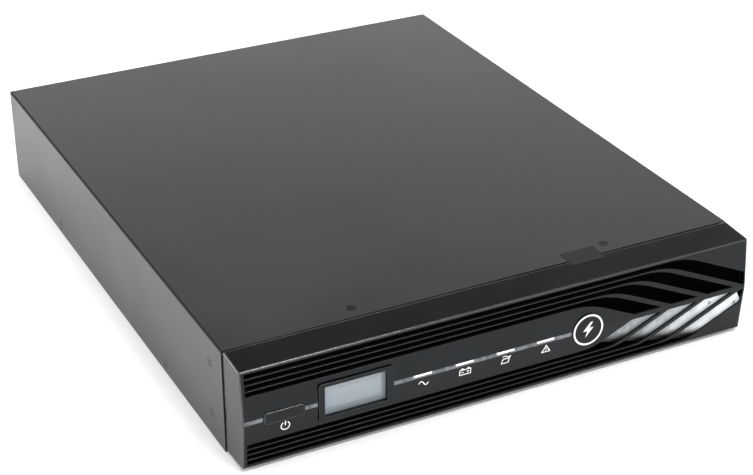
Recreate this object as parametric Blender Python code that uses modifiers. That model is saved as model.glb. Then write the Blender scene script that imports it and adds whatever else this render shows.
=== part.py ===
"""A rack-mount uninterruptible power supply: a sheet-steel case with a moulded front bezel, a pull-out
battery drawer, power electronics, two exhaust fans and a rear panel of sockets.

The frame: +Z up from the case's flat bottom, +X to the right and +Y to the rear, with the origin under
the middle of the object. Lengths are metres. Places on the front are counted from the case's left side,
and places behind the seam between bezel and case are counted backwards from that seam."""

import math

import bmesh
import bpy
from mathutils import Matrix, Vector

# Case
CASE_WIDTH = 0.438
CASE_HEIGHT = 0.0865
CASE_DEPTH = 0.515
SHEET = 0.0012
BEND_RADIUS = 0.0018
GAP = 0.0003
SEAM = 0.0012
REAR_PROUD = 0.003
OVERRUN = 0.004
FLANGE_HEIGHT = 0.0145
FRONT_FLANGE = 0.040
FRONT_VENTS = 12
FRONT_VENT_WIDTH = 0.005
FRONT_VENT_PITCH = 0.012
FRONT_VENT_START = 0.030
FRONT_VENT_MARGIN = 0.016

# Screws
HEAD_RADIUS = 0.0036
HEAD_HEIGHT = 0.0016
SHANK_RADIUS = 0.0015
SCREW_LENGTH = 0.007
TOP_SCREW_SPREAD = 0.220
TOP_SCREW_BACK = 0.0134
EAR_SCREW_PITCH = 0.0442
EAR_SCREW_BACK = 0.024
SIDE_SCREW_HEIGHT = 0.0083
SIDE_SCREWS_BACK = (0.121, 0.382)

# Bezel
BEZEL_DEPTH = 0.0321
BEZEL_WALL = 0.0022
BEZEL_INSET = 0.0008
BEZEL_EDGE = 0.0008
FACE_SETBACK = 0.0033
TOP_FALL = 0.0018
SEAM_RISE = 0.001
BOTTOM_RISE = 0.003
RIDGE_HEIGHT = 0.0043
INLAY_PROUD = 0.0007
TONGUE_LEFT = 0.2888
TONGUE_WIDTH = 0.0296
TONGUE_REACH = 0.0132
TONGUE_ROOT = 0.006
CLIP_WIDTH = 0.002
CLIP_HEIGHT = 0.010
CLIP_REACH = 0.006
CLIP_SPREAD = 0.040
CLIP_STEP = 0.001
PRY_NOTCH_Z = 0.0346
PRY_NOTCH_HEIGHT = 0.0055
PRY_NOTCH_DEPTH = 0.002

# Vent slots and their chevrons
SLOTS = 4
SLOT_START = 0.0043
SLOT_PITCH = 0.0048
SLOT_HEIGHT = 0.0038
TOP_SLOT_DROP = 0.0041
BOTTOM_SLOT_RISE = 0.006
SLOT_END_MARGIN = 0.0025
CHEVRON_PITCH = 0.0345
UPPER_CHEVRON_START = 0.107
UPPER_CHEVRON_WIDTH = 0.0255
UPPER_SLOPE = 0.449
UPPER_FILLET = 0.070
LOWER_CHEVRON_START = 0.109
LOWER_CHEVRON_WIDTH = 0.028
LOWER_SLOPE = 0.485
LOWER_FILLET = 0.040
FILLET_STEPS = 6

# Filters behind the slots, and the bright insert behind the lower chevrons
FILTER_THICKNESS = 0.003
FILTER_BACK = 0.0215
FILTER_OVERLAP = 0.001
INSERT_THICKNESS = 0.001
INSERT_LEFT = 0.140
INSERT_LOW_LEFT = 0.060
INSERT_CORNER_DROP = 0.014

# Button, display and lights on the bezel
BUTTON_LEFT = 0.0175
BUTTON_WIDTH = 0.0313
BUTTON_HEIGHT = 0.0095
BUTTON_EDGE = 0.0006
BUTTON_CORNER = 0.002
BUTTON_LIP = 0.0012
BUTTON_TRAVEL = 0.0012
DISPLAY_LEFT = 0.0602
DISPLAY_WIDTH = 0.060
DISPLAY_HEIGHT = 0.0325
DISPLAY_CORNER = 0.0022
DISPLAY_FRAME_DEPTH = 0.0036
WINDOW_SIDE_BORDER = 0.00475
WINDOW_TOP_BORDER = 0.0035
WINDOW_LIFT = 0.0005
WINDOW_THICKNESS = 0.001
WINDOW_RECESS = 0.0022
WINDOW_CORNER = 0.0006
PANEL_BORDER = 0.0025
PANEL_THICKNESS = 0.0026
STRIP_HEIGHT = 0.0033
STRIP_THICKNESS = 0.0006
STRIP_START = 0.0015
STRIP_END = 0.2735
LIGHTS = 4
LIGHT_LEFT = 0.1373
LIGHT_PITCH = 0.0352
LIGHT_WIDTH = 0.015
LIGHT_HEIGHT = 0.0018
LIGHT_RISE = 0.0009
PIPE_THICKNESS = 0.002
PIPE_HEIGHT = 0.006
BADGE_X = 0.2885
BADGE_RADIUS = 0.01375
BADGE_THICKNESS = 0.0021
BADGE_SETBACK = 0.0002
BADGE_RIM = 0.0004
BOARD_THICKNESS = 0.0016
SWITCH_SIDE = 0.006
SWITCH_DEPTH = 0.0012

# Battery drawer
BATTERIES_ACROSS = 2
BATTERIES_DEEP = 2
BATTERY_LENGTH = 0.151
BATTERY_WIDTH = 0.065
BATTERY_HEIGHT = 0.094
BATTERY_EDGE = 0.002
TERMINAL_REACH = 0.005
TERMINAL_WIDTH = 0.006
TERMINAL_THICKNESS = 0.001
TERMINAL_ROOT = 0.001
TERMINAL_INSET = 0.016
WIRE_CHANNEL = 0.014
BAY_LEFT = 0.014
TRAY_WALL_HEIGHT = 0.030
TRAY_FACE_OVERLAP = 0.002
DRAWER_SIDE_CLEARANCE = 0.001
HANDLE_SPAN = 0.070
HANDLE_REACH = 0.012
HANDLE_RADIUS = 0.002
HANDLE_DROP = 0.010
PLUG_WIDTH = 0.040
PLUG_HEIGHT = 0.016
PLUG_LENGTH = 0.020
PLUG_RISE = 0.020
SOCKET_WALL = 0.003
SOCKET_LENGTH = 0.022
SOCKET_DEPTH = 0.012

# Fans
FAN_SIDE = 0.080
FAN_DEPTH = 0.025
FAN_WALL = 0.002
FAN_CORNER = 0.004
FAN_HUB = 0.0165
FAN_HUB_LENGTH = 0.018
FAN_HUB_RIM = 0.0015
FAN_BLADES = 7
FAN_TIP_CLEARANCE = 0.0015
FAN_BLADE_CHORD = 0.020
FAN_BLADE_THICKNESS = 0.0014
FAN_BLADE_PITCH = 38
FAN_BLADE_ROOT = 0.002
FAN_MOUNT_THICKNESS = 0.0035
FAN_STRUT = 0.004
FAN_STRUT_THICKNESS = 0.0025
FAN_LEFT = 0.014
FAN_BETWEEN = 0.006
GUARD_WIRE = 0.0018
GUARD_RINGS = 3
GUARD_FIRST_RING = 0.014
GUARD_RIM = 0.002
GUARD_ARM_INSET = 0.0086
GUARD_STEP = 0.0002

# Rear panel: places are counted from the case's right side and its bottom
OUTLETS = 4
OUTLET_PITCH = 0.0295
OUTLET_BLOCK_HEIGHT = 0.022
OUTLET_BLOCK_RIGHT = 0.014
OUTLET_ROWS_Z = (0.0450, 0.0710)
OUTLET_WIDTH = 0.0235
OUTLET_HEIGHT = 0.0165
OUTLET_ISLAND_MARGIN = 0.0026
OUTLET_CHAMFER = 0.005
OUTLET_RING_DEPTH = 0.014
PIN_SLOT = (0.0022, 0.0048)
PIN_SLOT_DEPTH = 0.008
PIN_SPREAD = 0.0065
EARTH_RISE = 0.0022
FLANGE_OUT = 0.002
FLANGE_LIP = 0.0015
BLOCK_DEPTH = 0.020
INLET_X = 0.034
INLET_Z = 0.0185
INLET_FLANGE = (0.031, 0.024)
INLET_CAVITY_DEPTH = 0.016
BREAKER_X = 0.075
BREAKER_Z = 0.0185
BREAKER_RADIUS = 0.0055
BREAKER_NUT = 0.008
BREAKER_DEPTH = 0.022
BREAKER_BUTTON_RADIUS = 0.0028
BREAKER_BUTTON_REACH = 0.0026
BREAKER_TRAVEL = 0.0035
BREAKER_GUIDE = 0.0075
SLOT_COVER_X = 0.192
SLOT_COVER_Z = 0.0665
SLOT_COVER_SIZE = (0.100, 0.028)
SLOT_COVER_THICKNESS = 0.0015
SLOT_OPENING_MARGIN = 0.004
PORT_OUT = 0.0005
USB_X = 0.152
USB_SIZE = (0.012, 0.011, 0.016)
NETWORK_X = 0.183
NETWORK_SIZE = (0.030, 0.014, 0.020)
EPO_X = 0.218
EPO_SIZE = (0.018, 0.011, 0.016)
EPO_PLUG_SIZE = (0.013, 0.0065)
EPO_PLUG_DEPTH = 0.009
PORT_WALL = 0.0012

# Boards and what stands on them
STANDOFF_RADIUS = 0.003
STANDOFF_HEIGHT = 0.0085
BOARD_MARGIN = 0.006
POWER_BOARD_LENGTH = 0.400
POWER_BOARD_FRONT = 0.050
COMMS_BOARD_LENGTH = 0.055
COMMS_BOARD_WIDTH = 0.110
HEATSINK_SIZE = (0.058, 0.170, 0.055)
HEATSINK_FINS = 7
HEATSINK_FIN = 0.0022
HEATSINK_BASE = 0.006
HEATSINK_PLACE = (0.030, 0.180)
CAPACITOR_RADIUS = 0.015
CAPACITOR_HEIGHT = 0.050
CAPACITOR_RIM = 0.001
COIL_RADIUS = 0.019
COIL_TUBE = 0.009
COIL_PLACE = (0.060, 0.110)
CORE_SIZE = (0.066, 0.055, 0.055)
WINDING_SIZE = (0.044, 0.074, 0.040)

# Worked out from the values above
HALF_WIDTH = CASE_WIDTH / 2
TOTAL_DEPTH = BEZEL_DEPTH + INLAY_PROUD + CASE_DEPTH + REAR_PROUD
SEAM_Y = BEZEL_DEPTH + INLAY_PROUD - TOTAL_DEPTH / 2
REAR_Y = SEAM_Y + CASE_DEPTH
WINDOW_WIDTH = DISPLAY_WIDTH - 2 * WINDOW_SIDE_BORDER
WINDOW_HEIGHT = DISPLAY_HEIGHT - 2 * WINDOW_TOP_BORDER
FAN_BORE = FAN_SIDE / 2 - FAN_WALL
FAN_SPACING = FAN_SIDE + FAN_BETWEEN
GUARD_RING_PITCH = (FAN_BORE - GUARD_RIM - GUARD_FIRST_RING) / (GUARD_RINGS - 1)
GUARD_ARM = math.sqrt(2) * FAN_SIDE / 2 - GUARD_ARM_INSET
RIDGE_Z = CASE_HEIGHT / 2
RIDGE_TOP = RIDGE_Z + RIDGE_HEIGHT / 2
RIDGE_BOTTOM = RIDGE_Z - RIDGE_HEIGHT / 2
RIDGE_Y = SEAM_Y - BEZEL_DEPTH
FACE_EDGE_Y = RIDGE_Y + FACE_SETBACK
FACE_TOP = CASE_HEIGHT - TOP_FALL
WALL_INSIDE_Y = FACE_EDGE_Y + 1.4 * BEZEL_WALL
LIP_FRONT_Y = RIDGE_Y + BEZEL_WALL + 3 * GAP
LIP_BACK_Y = LIP_FRONT_Y + BUTTON_LIP
SWITCH_FRONT_Y = LIP_BACK_Y + BUTTON_TRAVEL + GAP
DISPLAY_BOARD_FRONT_Y = SWITCH_FRONT_Y + SWITCH_DEPTH + GAP
DISPLAY_BOARD_BACK_Y = DISPLAY_BOARD_FRONT_Y + BOARD_THICKNESS
INLAY_Y = RIDGE_Y - INLAY_PROUD
INNER_HALF = HALF_WIDTH - SHEET - GAP
FLOOR_TOP = SHEET
ROOF_UNDER = CASE_HEIGHT - SHEET - GAP
PANEL_INSIDE_Y = REAR_Y - SHEET
TRAY_INNER_WIDTH = BATTERIES_ACROSS * BATTERY_HEIGHT + WIRE_CHANNEL
TRAY_WIDTH = TRAY_INNER_WIDTH + 2 * SHEET
TRAY_INNER_DEPTH = BATTERIES_DEEP * (BATTERY_LENGTH + GAP) + GAP
BAY_RIGHT = BAY_LEFT + TRAY_WIDTH + DRAWER_SIDE_CLEARANCE + GAP
TRAY_FRONT = 0.0005
TRAY_BACK = TRAY_FRONT + SHEET + TRAY_INNER_DEPTH + SHEET
BAY_BACK = TRAY_BACK + GAP + PLUG_LENGTH + SOCKET_LENGTH - SOCKET_DEPTH + 2 * GAP
TRAY_FLOOR = FLOOR_TOP + GAP
BATTERY_REST = TRAY_FLOOR + SHEET + GAP
BOARD_UNDER = STANDOFF_HEIGHT + GAP
BOARD_TOP = BOARD_UNDER + BOARD_THICKNESS
PORTS_Z = BOARD_TOP + GAP

# Finish: colour, roughness, metallic
FINISHES = {
    "satin_paint": ((0.030, 0.030, 0.032), 0.42, 0.0),
    "bezel_plastic": ((0.014, 0.015, 0.017), 0.30, 0.0),
    "black_plastic": ((0.010, 0.010, 0.011), 0.45, 0.0),
    "filter_foam": ((0.006, 0.006, 0.006), 0.95, 0.0),
    "silver_film": ((0.62, 0.66, 0.70), 0.28, 0.9),
    "white_light": ((0.85, 0.85, 0.85), 0.35, 0.0),
    "display_glass": ((0.30, 0.34, 0.38), 0.20, 0.0),
    "clear_window": ((0.80, 0.84, 0.88), 0.05, 0.0),
    "circuit_board": ((0.015, 0.09, 0.04), 0.45, 0.0),
    "plated_steel": ((0.55, 0.55, 0.54), 0.35, 1.0),
    "screw_black": ((0.018, 0.018, 0.018), 0.35, 0.6),
    "fin_aluminium": ((0.62, 0.62, 0.63), 0.38, 1.0),
    "battery_case": ((0.045, 0.046, 0.050), 0.55, 0.0),
    "copper_coil": ((0.55, 0.22, 0.09), 0.35, 0.9),
    "capacitor_sleeve": ((0.02, 0.03, 0.05), 0.30, 0.0),
    "port_shell": ((0.60, 0.60, 0.58), 0.30, 1.0),
    "terminal_green": ((0.03, 0.22, 0.08), 0.45, 0.0),
    "connector_grey": ((0.16, 0.16, 0.17), 0.50, 0.0),
    "reset_white": ((0.75, 0.74, 0.70), 0.40, 0.0),
}


def from_left(distance):
    return distance - HALF_WIDTH


def from_right(distance):
    return HALF_WIDTH - distance


def behind(distance):
    return SEAM_Y + distance


# ---------------------------------------------------------------- modelling tools


def new_collection(name):
    collection = bpy.data.collections.new(name)
    bpy.context.scene.collection.children.link(collection)
    return collection


def coat(obj, finish):
    colour, roughness, metallic = FINISHES[finish]
    material = bpy.data.materials.new(f"{obj.name}_{finish}")
    material.use_nodes = True
    shader = material.node_tree.nodes["Principled BSDF"]
    shader.inputs["Base Color"].default_value = (*colour, 1.0)
    shader.inputs["Roughness"].default_value = roughness
    shader.inputs["Metallic"].default_value = metallic
    material.diffuse_color = (*colour, 1.0)
    obj.data.materials.append(material)


def finish_object(obj, centre, finish, parent):
    """Places an object under its parent and files it as a part or, with no finish, as a cutter."""
    obj.location = Vector(centre) - (parent.location if parent else Vector())
    obj.parent = parent
    if finish is None:
        CUTTERS.objects.link(obj)
        obj.hide_render = True
        obj.display_type = "WIRE"
    else:
        PARTS.objects.link(obj)
        coat(obj, finish)
    return obj


def anchor(name, location):
    """An empty that holds the pieces of one rigid group, or marks a joint's axis."""
    empty = bpy.data.objects.new(name, None)
    empty.empty_display_size = 0.02
    empty.location = location
    PARTS.objects.link(empty)
    return empty


def mesh_from(build, name):
    mesh = bpy.data.meshes.new(name)
    work = bmesh.new()
    build(work)
    bmesh.ops.recalc_face_normals(work, faces=work.faces)
    work.to_mesh(mesh)
    work.free()
    return mesh


def boxes(name, corners, finish, parent):
    """One mesh of boxes, each given by its lowest and highest corner."""
    lows = [Vector(low) for low, _ in corners]
    highs = [Vector(high) for _, high in corners]
    low_all = Vector(min(low[i] for low in lows) for i in range(3))
    high_all = Vector(max(high[i] for high in highs) for i in range(3))
    centre = (low_all + high_all) / 2

    def build(work):
        for low, high in zip(lows, highs):
            size = high - low
            matrix = Matrix.Translation((low + high) / 2 - centre) @ Matrix.Diagonal((*size, 1))
            bmesh.ops.create_cube(work, size=1, matrix=matrix)

    return finish_object(bpy.data.objects.new(name, mesh_from(build, name)), centre, finish, parent)


def box(name, low, high, finish, parent):
    return boxes(name, [(low, high)], finish, parent)


TURN_TO = {
    "+X": (0, math.pi / 2, 0),
    "-X": (0, -math.pi / 2, 0),
    "+Y": (-math.pi / 2, 0, 0),
    "-Y": (math.pi / 2, 0, 0),
    "+Z": (0, 0, 0),
}


def turned(name, profile, centre, towards, finish, parent, steps=24):
    """A profile of (radius, height) points, listed from the top down, spun about its height axis."""
    mesh = bpy.data.meshes.new(name)
    count = len(profile)
    edges = [(i, i + 1) for i in range(count - 1)]
    mesh.from_pydata([(radius, 0, height) for radius, height in profile], edges, [])
    obj = finish_object(bpy.data.objects.new(name, mesh), centre, finish, parent)
    obj.rotation_euler = TURN_TO[towards]
    spin = obj.modifiers.new("spin", "SCREW")
    spin.steps = steps
    spin.render_steps = steps
    spin.use_merge_vertices = True
    spin.merge_threshold = 0.00001
    spin.use_smooth_shade = False
    return obj


def rod(name, radius, length, centre, towards, finish, parent, steps=24):
    """A plain cylinder that starts at its centre point and runs the given way."""
    profile = [(0, length), (radius, length), (radius, 0), (0, 0)]
    return turned(name, profile, centre, towards, finish, parent, steps)


LAY_ALONG = {
    "X": Matrix(((0, 0, 1), (1, 0, 0), (0, 1, 0))).to_4x4(),
    "Y": Matrix(((1, 0, 0), (0, 0, -1), (0, 1, 0))).to_4x4(),
    "Z": Matrix.Identity(4),
}


def prism(name, outlines, low, high, along, finish, parent):
    """Flat outlines filled and extruded along an axis. Their points are (y, z) along X, (x, z) along Y
    and (x, y) along Z, and an outline inside another is a hole."""
    curve = bpy.data.curves.new(name, "CURVE")
    curve.dimensions = "2D"
    curve.fill_mode = "BOTH"
    curve.extrude = (high - low) / 2
    for outline in outlines:
        spline = curve.splines.new("POLY")
        spline.points.add(len(outline) - 1)
        for point, (across, up) in zip(spline.points, outline):
            point.co = (across, up, 0, 1)
        spline.use_cyclic_u = True
    drawn = bpy.data.objects.new(name + "_outline", curve)
    bpy.context.scene.collection.objects.link(drawn)
    graph = bpy.context.evaluated_depsgraph_get()
    mesh = bpy.data.meshes.new_from_object(drawn.evaluated_get(graph))
    mesh.name = name
    bpy.data.objects.remove(drawn, do_unlink=True)
    bpy.data.curves.remove(curve)
    mesh.transform(LAY_ALONG[along])
    axis = "XYZ".index(along)
    corners = [Vector(vertex.co) for vertex in mesh.vertices]
    middle = Vector((min(c[i] for c in corners) + max(c[i] for c in corners)) / 2 for i in range(3))
    mesh.transform(Matrix.Translation(-middle))
    work = bmesh.new()
    work.from_mesh(mesh)
    bmesh.ops.remove_doubles(work, verts=work.verts, dist=0.000001)
    bmesh.ops.dissolve_limit(work, angle_limit=0.001, verts=work.verts, edges=work.edges)
    bmesh.ops.recalc_face_normals(work, faces=work.faces)
    work.to_mesh(mesh)
    work.free()
    middle[axis] = (low + high) / 2
    return finish_object(bpy.data.objects.new(name, mesh), middle, finish, parent)


def cut(target, *cutters):
    for cutter in cutters:
        step = target.modifiers.new(cutter.name, "BOOLEAN")
        step.operation = "DIFFERENCE"
        step.object = cutter


def fuse(target, *additions):
    for addition in additions:
        step = target.modifiers.new(addition.name, "BOOLEAN")
        step.operation = "UNION"
        step.object = addition


def round_edges(obj, width, segments=2):
    bevel = obj.modifiers.new("rounded_edges", "BEVEL")
    bevel.width = width
    bevel.segments = segments
    bevel.limit_method = "ANGLE"
    bevel.angle_limit = math.radians(40)


def arc(centre, radius, start, end, steps):
    """Points on an arc from one angle to another, in degrees."""
    angles = [math.radians(start + (end - start) * i / steps) for i in range(steps + 1)]
    return [(centre[0] + radius * math.cos(a), centre[1] + radius * math.sin(a)) for a in angles]


def rounded_rectangle(left, bottom, width, height, radius, steps=3):
    corners = (
        ((left + width - radius, bottom + radius), -90),
        ((left + width - radius, bottom + height - radius), 0),
        ((left + radius, bottom + height - radius), 90),
        ((left + radius, bottom + radius), 180),
    )
    points = []
    for centre, start in corners:
        points += arc(centre, radius, start, start + 90, steps)
    return points


def circle(centre, radius, steps):
    return arc(centre, radius, 0, 360 * (steps - 1) / steps, steps - 1)


# ---------------------------------------------------------------- case


def bent_sheet_section():
    """The cover's inverted U, as (x, z) points."""
    inner_radius = BEND_RADIUS - SHEET

    def side(radius, reach, top):
        right = arc((reach - radius, top - radius), radius, 0, 90, 3)
        left = arc((radius - reach, top - radius), radius, 90, 180, 3)
        return [(reach, 0)] + right + left + [(-reach, 0)]

    outer = side(BEND_RADIUS, HALF_WIDTH, CASE_HEIGHT)
    inner = side(inner_radius, HALF_WIDTH - SHEET, CASE_HEIGHT - SHEET)
    return outer + inner[::-1]


def screw_profile(clearance):
    top = clearance and HEAD_HEIGHT
    rim = HEAD_HEIGHT / 4 + clearance
    return [
        (0, top),
        (HEAD_RADIUS + clearance, top),
        (HEAD_RADIUS + clearance, -rim),
        (SHANK_RADIUS + clearance, -HEAD_HEIGHT - clearance),
        (SHANK_RADIUS + clearance, -SCREW_LENGTH - clearance),
        (0, -SCREW_LENGTH - clearance),
    ]


def build_screws(case, cover, under_top, under_sides):
    """Countersunk screws, each with a hole through the cover and through the sheet beneath it."""
    places = {}
    for side, sign in (("left", -1), ("right", 1)):
        top = (sign * TOP_SCREW_SPREAD / 2, behind(TOP_SCREW_BACK), CASE_HEIGHT)
        places[f"top_screw_{side}"] = (top, "+Z", under_top)
        towards = "+X" if sign > 0 else "-X"
        for level, rise in (("lower", -1), ("upper", 1)):
            height = CASE_HEIGHT / 2 + rise * EAR_SCREW_PITCH / 2
            ear = (sign * HALF_WIDTH, behind(EAR_SCREW_BACK), height)
            places[f"ear_screw_{side}_{level}"] = (ear, towards, under_top)
        for end, back in zip(("front", "rear"), SIDE_SCREWS_BACK):
            low = (sign * HALF_WIDTH, behind(back), SIDE_SCREW_HEIGHT)
            places[f"side_screw_{side}_{end}"] = (low, towards, under_sides)
    for name, (place, towards, beneath) in places.items():
        turned(name, screw_profile(0), place, towards, "screw_black", case, 12)
        hole = turned("hole_" + name, screw_profile(GAP), place, towards, None, case, 12)
        cut(cover, hole)
        cut(beneath, hole)


def build_cover(case):
    cover = prism(
        "top_cover", [bent_sheet_section()], behind(SEAM), REAR_Y, "Y", "satin_paint", case
    )
    left = from_left(TONGUE_LEFT - GAP)
    right = from_left(TONGUE_LEFT + TONGUE_WIDTH + GAP)
    low = (left, behind(-SEAM), CASE_HEIGHT - 3 * SHEET)
    high = (right, behind(TONGUE_REACH + GAP), CASE_HEIGHT + SHEET)
    cut(cover, box("cut_tongue_notch", low, high, None, case))
    return cover


def standoff_places():
    """Where the boards stand: the power board's corners and middle, and the rear board's front ends."""
    left, right = power_board_sides()
    inset = 2 * STANDOFF_RADIUS
    middle = POWER_BOARD_FRONT + POWER_BOARD_LENGTH / 2
    rows = (POWER_BOARD_FRONT + inset, middle, POWER_BOARD_FRONT + POWER_BOARD_LENGTH - inset)
    places = [(x, behind(y)) for y in rows for x in (left + inset, right - inset)]
    board_left, board_right, board_front, _ = comms_board_sides()
    places += [(x, board_front + inset) for x in (board_left + inset, board_right - inset)]
    return places


def build_pan(case):
    """The floor with its two upturned flanges, and the standoffs pressed up from it."""
    reach = INNER_HALF
    section = [
        (-reach, FLANGE_HEIGHT),
        (-reach, 0),
        (reach, 0),
        (reach, FLANGE_HEIGHT),
        (reach - SHEET, FLANGE_HEIGHT),
        (reach - SHEET, SHEET),
        (SHEET - reach, SHEET),
        (SHEET - reach, FLANGE_HEIGHT),
    ]
    pan = prism("chassis_pan", [section], behind(SEAM), REAR_Y, "Y", "plated_steel", case)
    for number, (x, y) in enumerate(standoff_places()):
        start = (x, y, SHEET / 2)
        post = rod(f"standoff_{number}", STANDOFF_RADIUS, STANDOFF_HEIGHT - SHEET / 2,
                   start, "+Z", None, case, 8)
        fuse(pan, post)
    return pan


def clip_places():
    """Middle heights of the bezel's clips, and of the slots that they enter."""
    return (RIDGE_Z - CLIP_SPREAD / 2, RIDGE_Z + CLIP_SPREAD / 2)


def clip_sides():
    """Inner and outer distance of a clip from the middle of the case."""
    outer = INNER_HALF - SHEET - GAP
    return outer - CLIP_WIDTH, outer


def clip_slot(sign, height):
    """The slot in the front plate that one clip enters, as a box."""
    inner, outer = clip_sides()
    low_x, high_x = sorted((sign * (inner - GAP), sign * outer + sign * GAP / 2))
    reach = CLIP_HEIGHT / 2 + GAP
    return (low_x, behind(0), height - reach), (high_x, behind(CLIP_REACH), height + reach)


def build_front_plate(case):
    """The steel front behind the bezel, with flanges for the ear screws and the top screws."""
    front, back = behind(TRAY_FRONT + SHEET + GAP), behind(TRAY_FRONT + 2 * SHEET + GAP)
    bottom = FLOOR_TOP + GAP
    plate = box("front_plate", (-INNER_HALF, front, bottom),
                (INNER_HALF, behind(FRONT_FLANGE), ROOF_UNDER), "plated_steel", case)
    inside, beyond = INNER_HALF - SHEET, behind(2 * FRONT_FLANGE)
    under_flange = ROOF_UNDER - SHEET
    flange_end = behind(TOP_SCREW_BACK + 2 * HEAD_RADIUS)
    cut(plate, box("cut_behind_plate", (-inside, back, -SHEET), (inside, beyond, under_flange),
                   None, case))
    cut(plate, box("cut_top_flange", (-inside, flange_end, SHEET), (inside, beyond, CASE_HEIGHT),
                   None, case))
    step, narrow = FLANGE_HEIGHT + GAP, inside - GAP
    notches = [
        ((-HALF_WIDTH, behind(-SHEET), 0), (-narrow, beyond, step)),
        ((narrow, behind(-SHEET), 0), (HALF_WIDTH, beyond, step)),
    ]
    cut(plate, boxes("cut_plate_corners", notches, None, case))
    edge = DRAWER_SIDE_CLEARANCE
    opening_low = (from_left(BAY_LEFT - edge), front - SHEET, 0)
    opening_high = (from_left(BAY_LEFT + TRAY_WIDTH + edge), back + SHEET, ROOF_UNDER - 2 * SHEET)
    cut(plate, box("cut_drawer_opening", opening_low, opening_high, None, case))
    grid = []
    for number in range(FRONT_VENTS):
        x = from_left(BAY_RIGHT + FRONT_VENT_START + number * FRONT_VENT_PITCH)
        low = (x, front - SHEET, FRONT_VENT_MARGIN)
        grid.append((low, (x + FRONT_VENT_WIDTH, back + SHEET, CASE_HEIGHT - FRONT_VENT_MARGIN)))
    cut(plate, boxes("cut_front_vents", grid, None, case))
    slots = [clip_slot(sign, height) for sign in (-1, 1) for height in clip_places()]
    cut(plate, boxes("cut_clip_slots", slots, None, case))
    return plate


def build_divider(case):
    """The wall between the battery bay and the electronics, bent behind the bay."""
    side, back = from_left(BAY_RIGHT), behind(BAY_BACK)
    left = from_left(BAY_LEFT - 2 * DRAWER_SIDE_CLEARANCE)
    front = behind(FRONT_FLANGE / 2)
    plan = [
        (side, front),
        (side + SHEET, front),
        (side + SHEET, back + SHEET),
        (left, back + SHEET),
        (left, back),
        (side, back),
    ]
    top = ROOF_UNDER - SHEET - GAP
    return prism("bay_divider", [plan], FLOOR_TOP + GAP, top, "Z", "plated_steel", case)


# ---------------------------------------------------------------- bezel


def face_y(height):
    """How far forward the bezel's face is at a height: two flats that lean back from the ridge."""
    if height > RIDGE_TOP:
        return RIDGE_Y + FACE_SETBACK * (height - RIDGE_TOP) / (FACE_TOP - RIDGE_TOP)
    if height < RIDGE_BOTTOM:
        return RIDGE_Y + FACE_SETBACK * (RIDGE_BOTTOM - height) / (RIDGE_BOTTOM - BOTTOM_RISE)
    return RIDGE_Y


def bezel_section(inwards, back):
    """The bezel's side view as (y, z) points, moved inwards by a wall."""
    return [
        (back, CASE_HEIGHT - inwards),
        (FACE_EDGE_Y + inwards, FACE_TOP - inwards),
        (RIDGE_Y + inwards, RIDGE_TOP),
        (RIDGE_Y + inwards, RIDGE_BOTTOM),
        (FACE_EDGE_Y + inwards, BOTTOM_RISE + inwards),
        (back, SEAM_RISE + inwards),
    ]


def bent_edge(level, meet_x, meet_z, slope, radius, last_x):
    """A slot's edge: level from the slot's start, then bent on a fillet towards the ridge.

    The slope is dz/dx of the bent stretch. It ends at the ridge, or at last_x where that comes first."""
    start_x = from_left(SLOT_START)
    corner_x = meet_x - (meet_z - level) / slope
    turn = math.atan(slope)
    tangent = radius * math.tan(abs(turn) / 2)
    centre = (corner_x - tangent, level + math.copysign(radius, slope))
    begin = -90 if slope > 0 else 90
    points = [(start_x, level)]
    points += arc(centre, radius, begin, begin + math.degrees(turn), FILLET_STEPS)
    if meet_x <= last_x:
        return points + [(meet_x, meet_z)]
    return points + [(last_x, meet_z - slope * (meet_x - last_x))]


def slot_outline(number, upper):
    """One vent slot, counted from the ridge outwards in the upper rows and the lower rows."""
    last_x = from_right(SLOT_END_MARGIN)
    if upper:
        top = CASE_HEIGHT - TOP_SLOT_DROP - (SLOTS - 1 - number) * SLOT_PITCH
        start, width, slope = UPPER_CHEVRON_START, UPPER_CHEVRON_WIDTH, -UPPER_SLOPE
        near, far, meet_z, radius = top - SLOT_HEIGHT, top, RIDGE_TOP, UPPER_FILLET
    else:
        bottom = BOTTOM_SLOT_RISE + (SLOTS - 1 - number) * SLOT_PITCH
        start, width, slope = LOWER_CHEVRON_START, LOWER_CHEVRON_WIDTH, LOWER_SLOPE
        near, far, meet_z, radius = bottom + SLOT_HEIGHT, bottom, RIDGE_BOTTOM, LOWER_FILLET
    meet_x = from_right(start) + number * CHEVRON_PITCH
    near_edge = bent_edge(near, meet_x, meet_z, slope, radius, last_x)
    far_edge = bent_edge(far, meet_x + width, meet_z, slope, radius, last_x)
    corner = [(last_x, meet_z)] if meet_x + width > last_x > meet_x else []
    return near_edge + corner + far_edge[::-1]


def strip_stretches():
    """Left and right ends of the three bright strips, between the button, the display and the badge."""
    button_right = BUTTON_LEFT + BUTTON_WIDTH
    display_right = DISPLAY_LEFT + DISPLAY_WIDTH
    return {
        "accent_strip_left": (STRIP_START, BUTTON_LEFT - 3 * GAP),
        "accent_strip_middle": (button_right + 3 * GAP, DISPLAY_LEFT - 3 * GAP),
        "accent_strip_right": (display_right + 3 * GAP, STRIP_END),
    }


def light_boxes(grow, front, back):
    bottom = RIDGE_Z + LIGHT_RISE - LIGHT_HEIGHT / 2
    shapes = []
    for number in range(LIGHTS):
        left = from_left(LIGHT_LEFT + number * LIGHT_PITCH)
        low = (left - grow, front, bottom - grow)
        shapes.append((low, (left + LIGHT_WIDTH + grow, back, bottom + LIGHT_HEIGHT + grow)))
    return shapes


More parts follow.
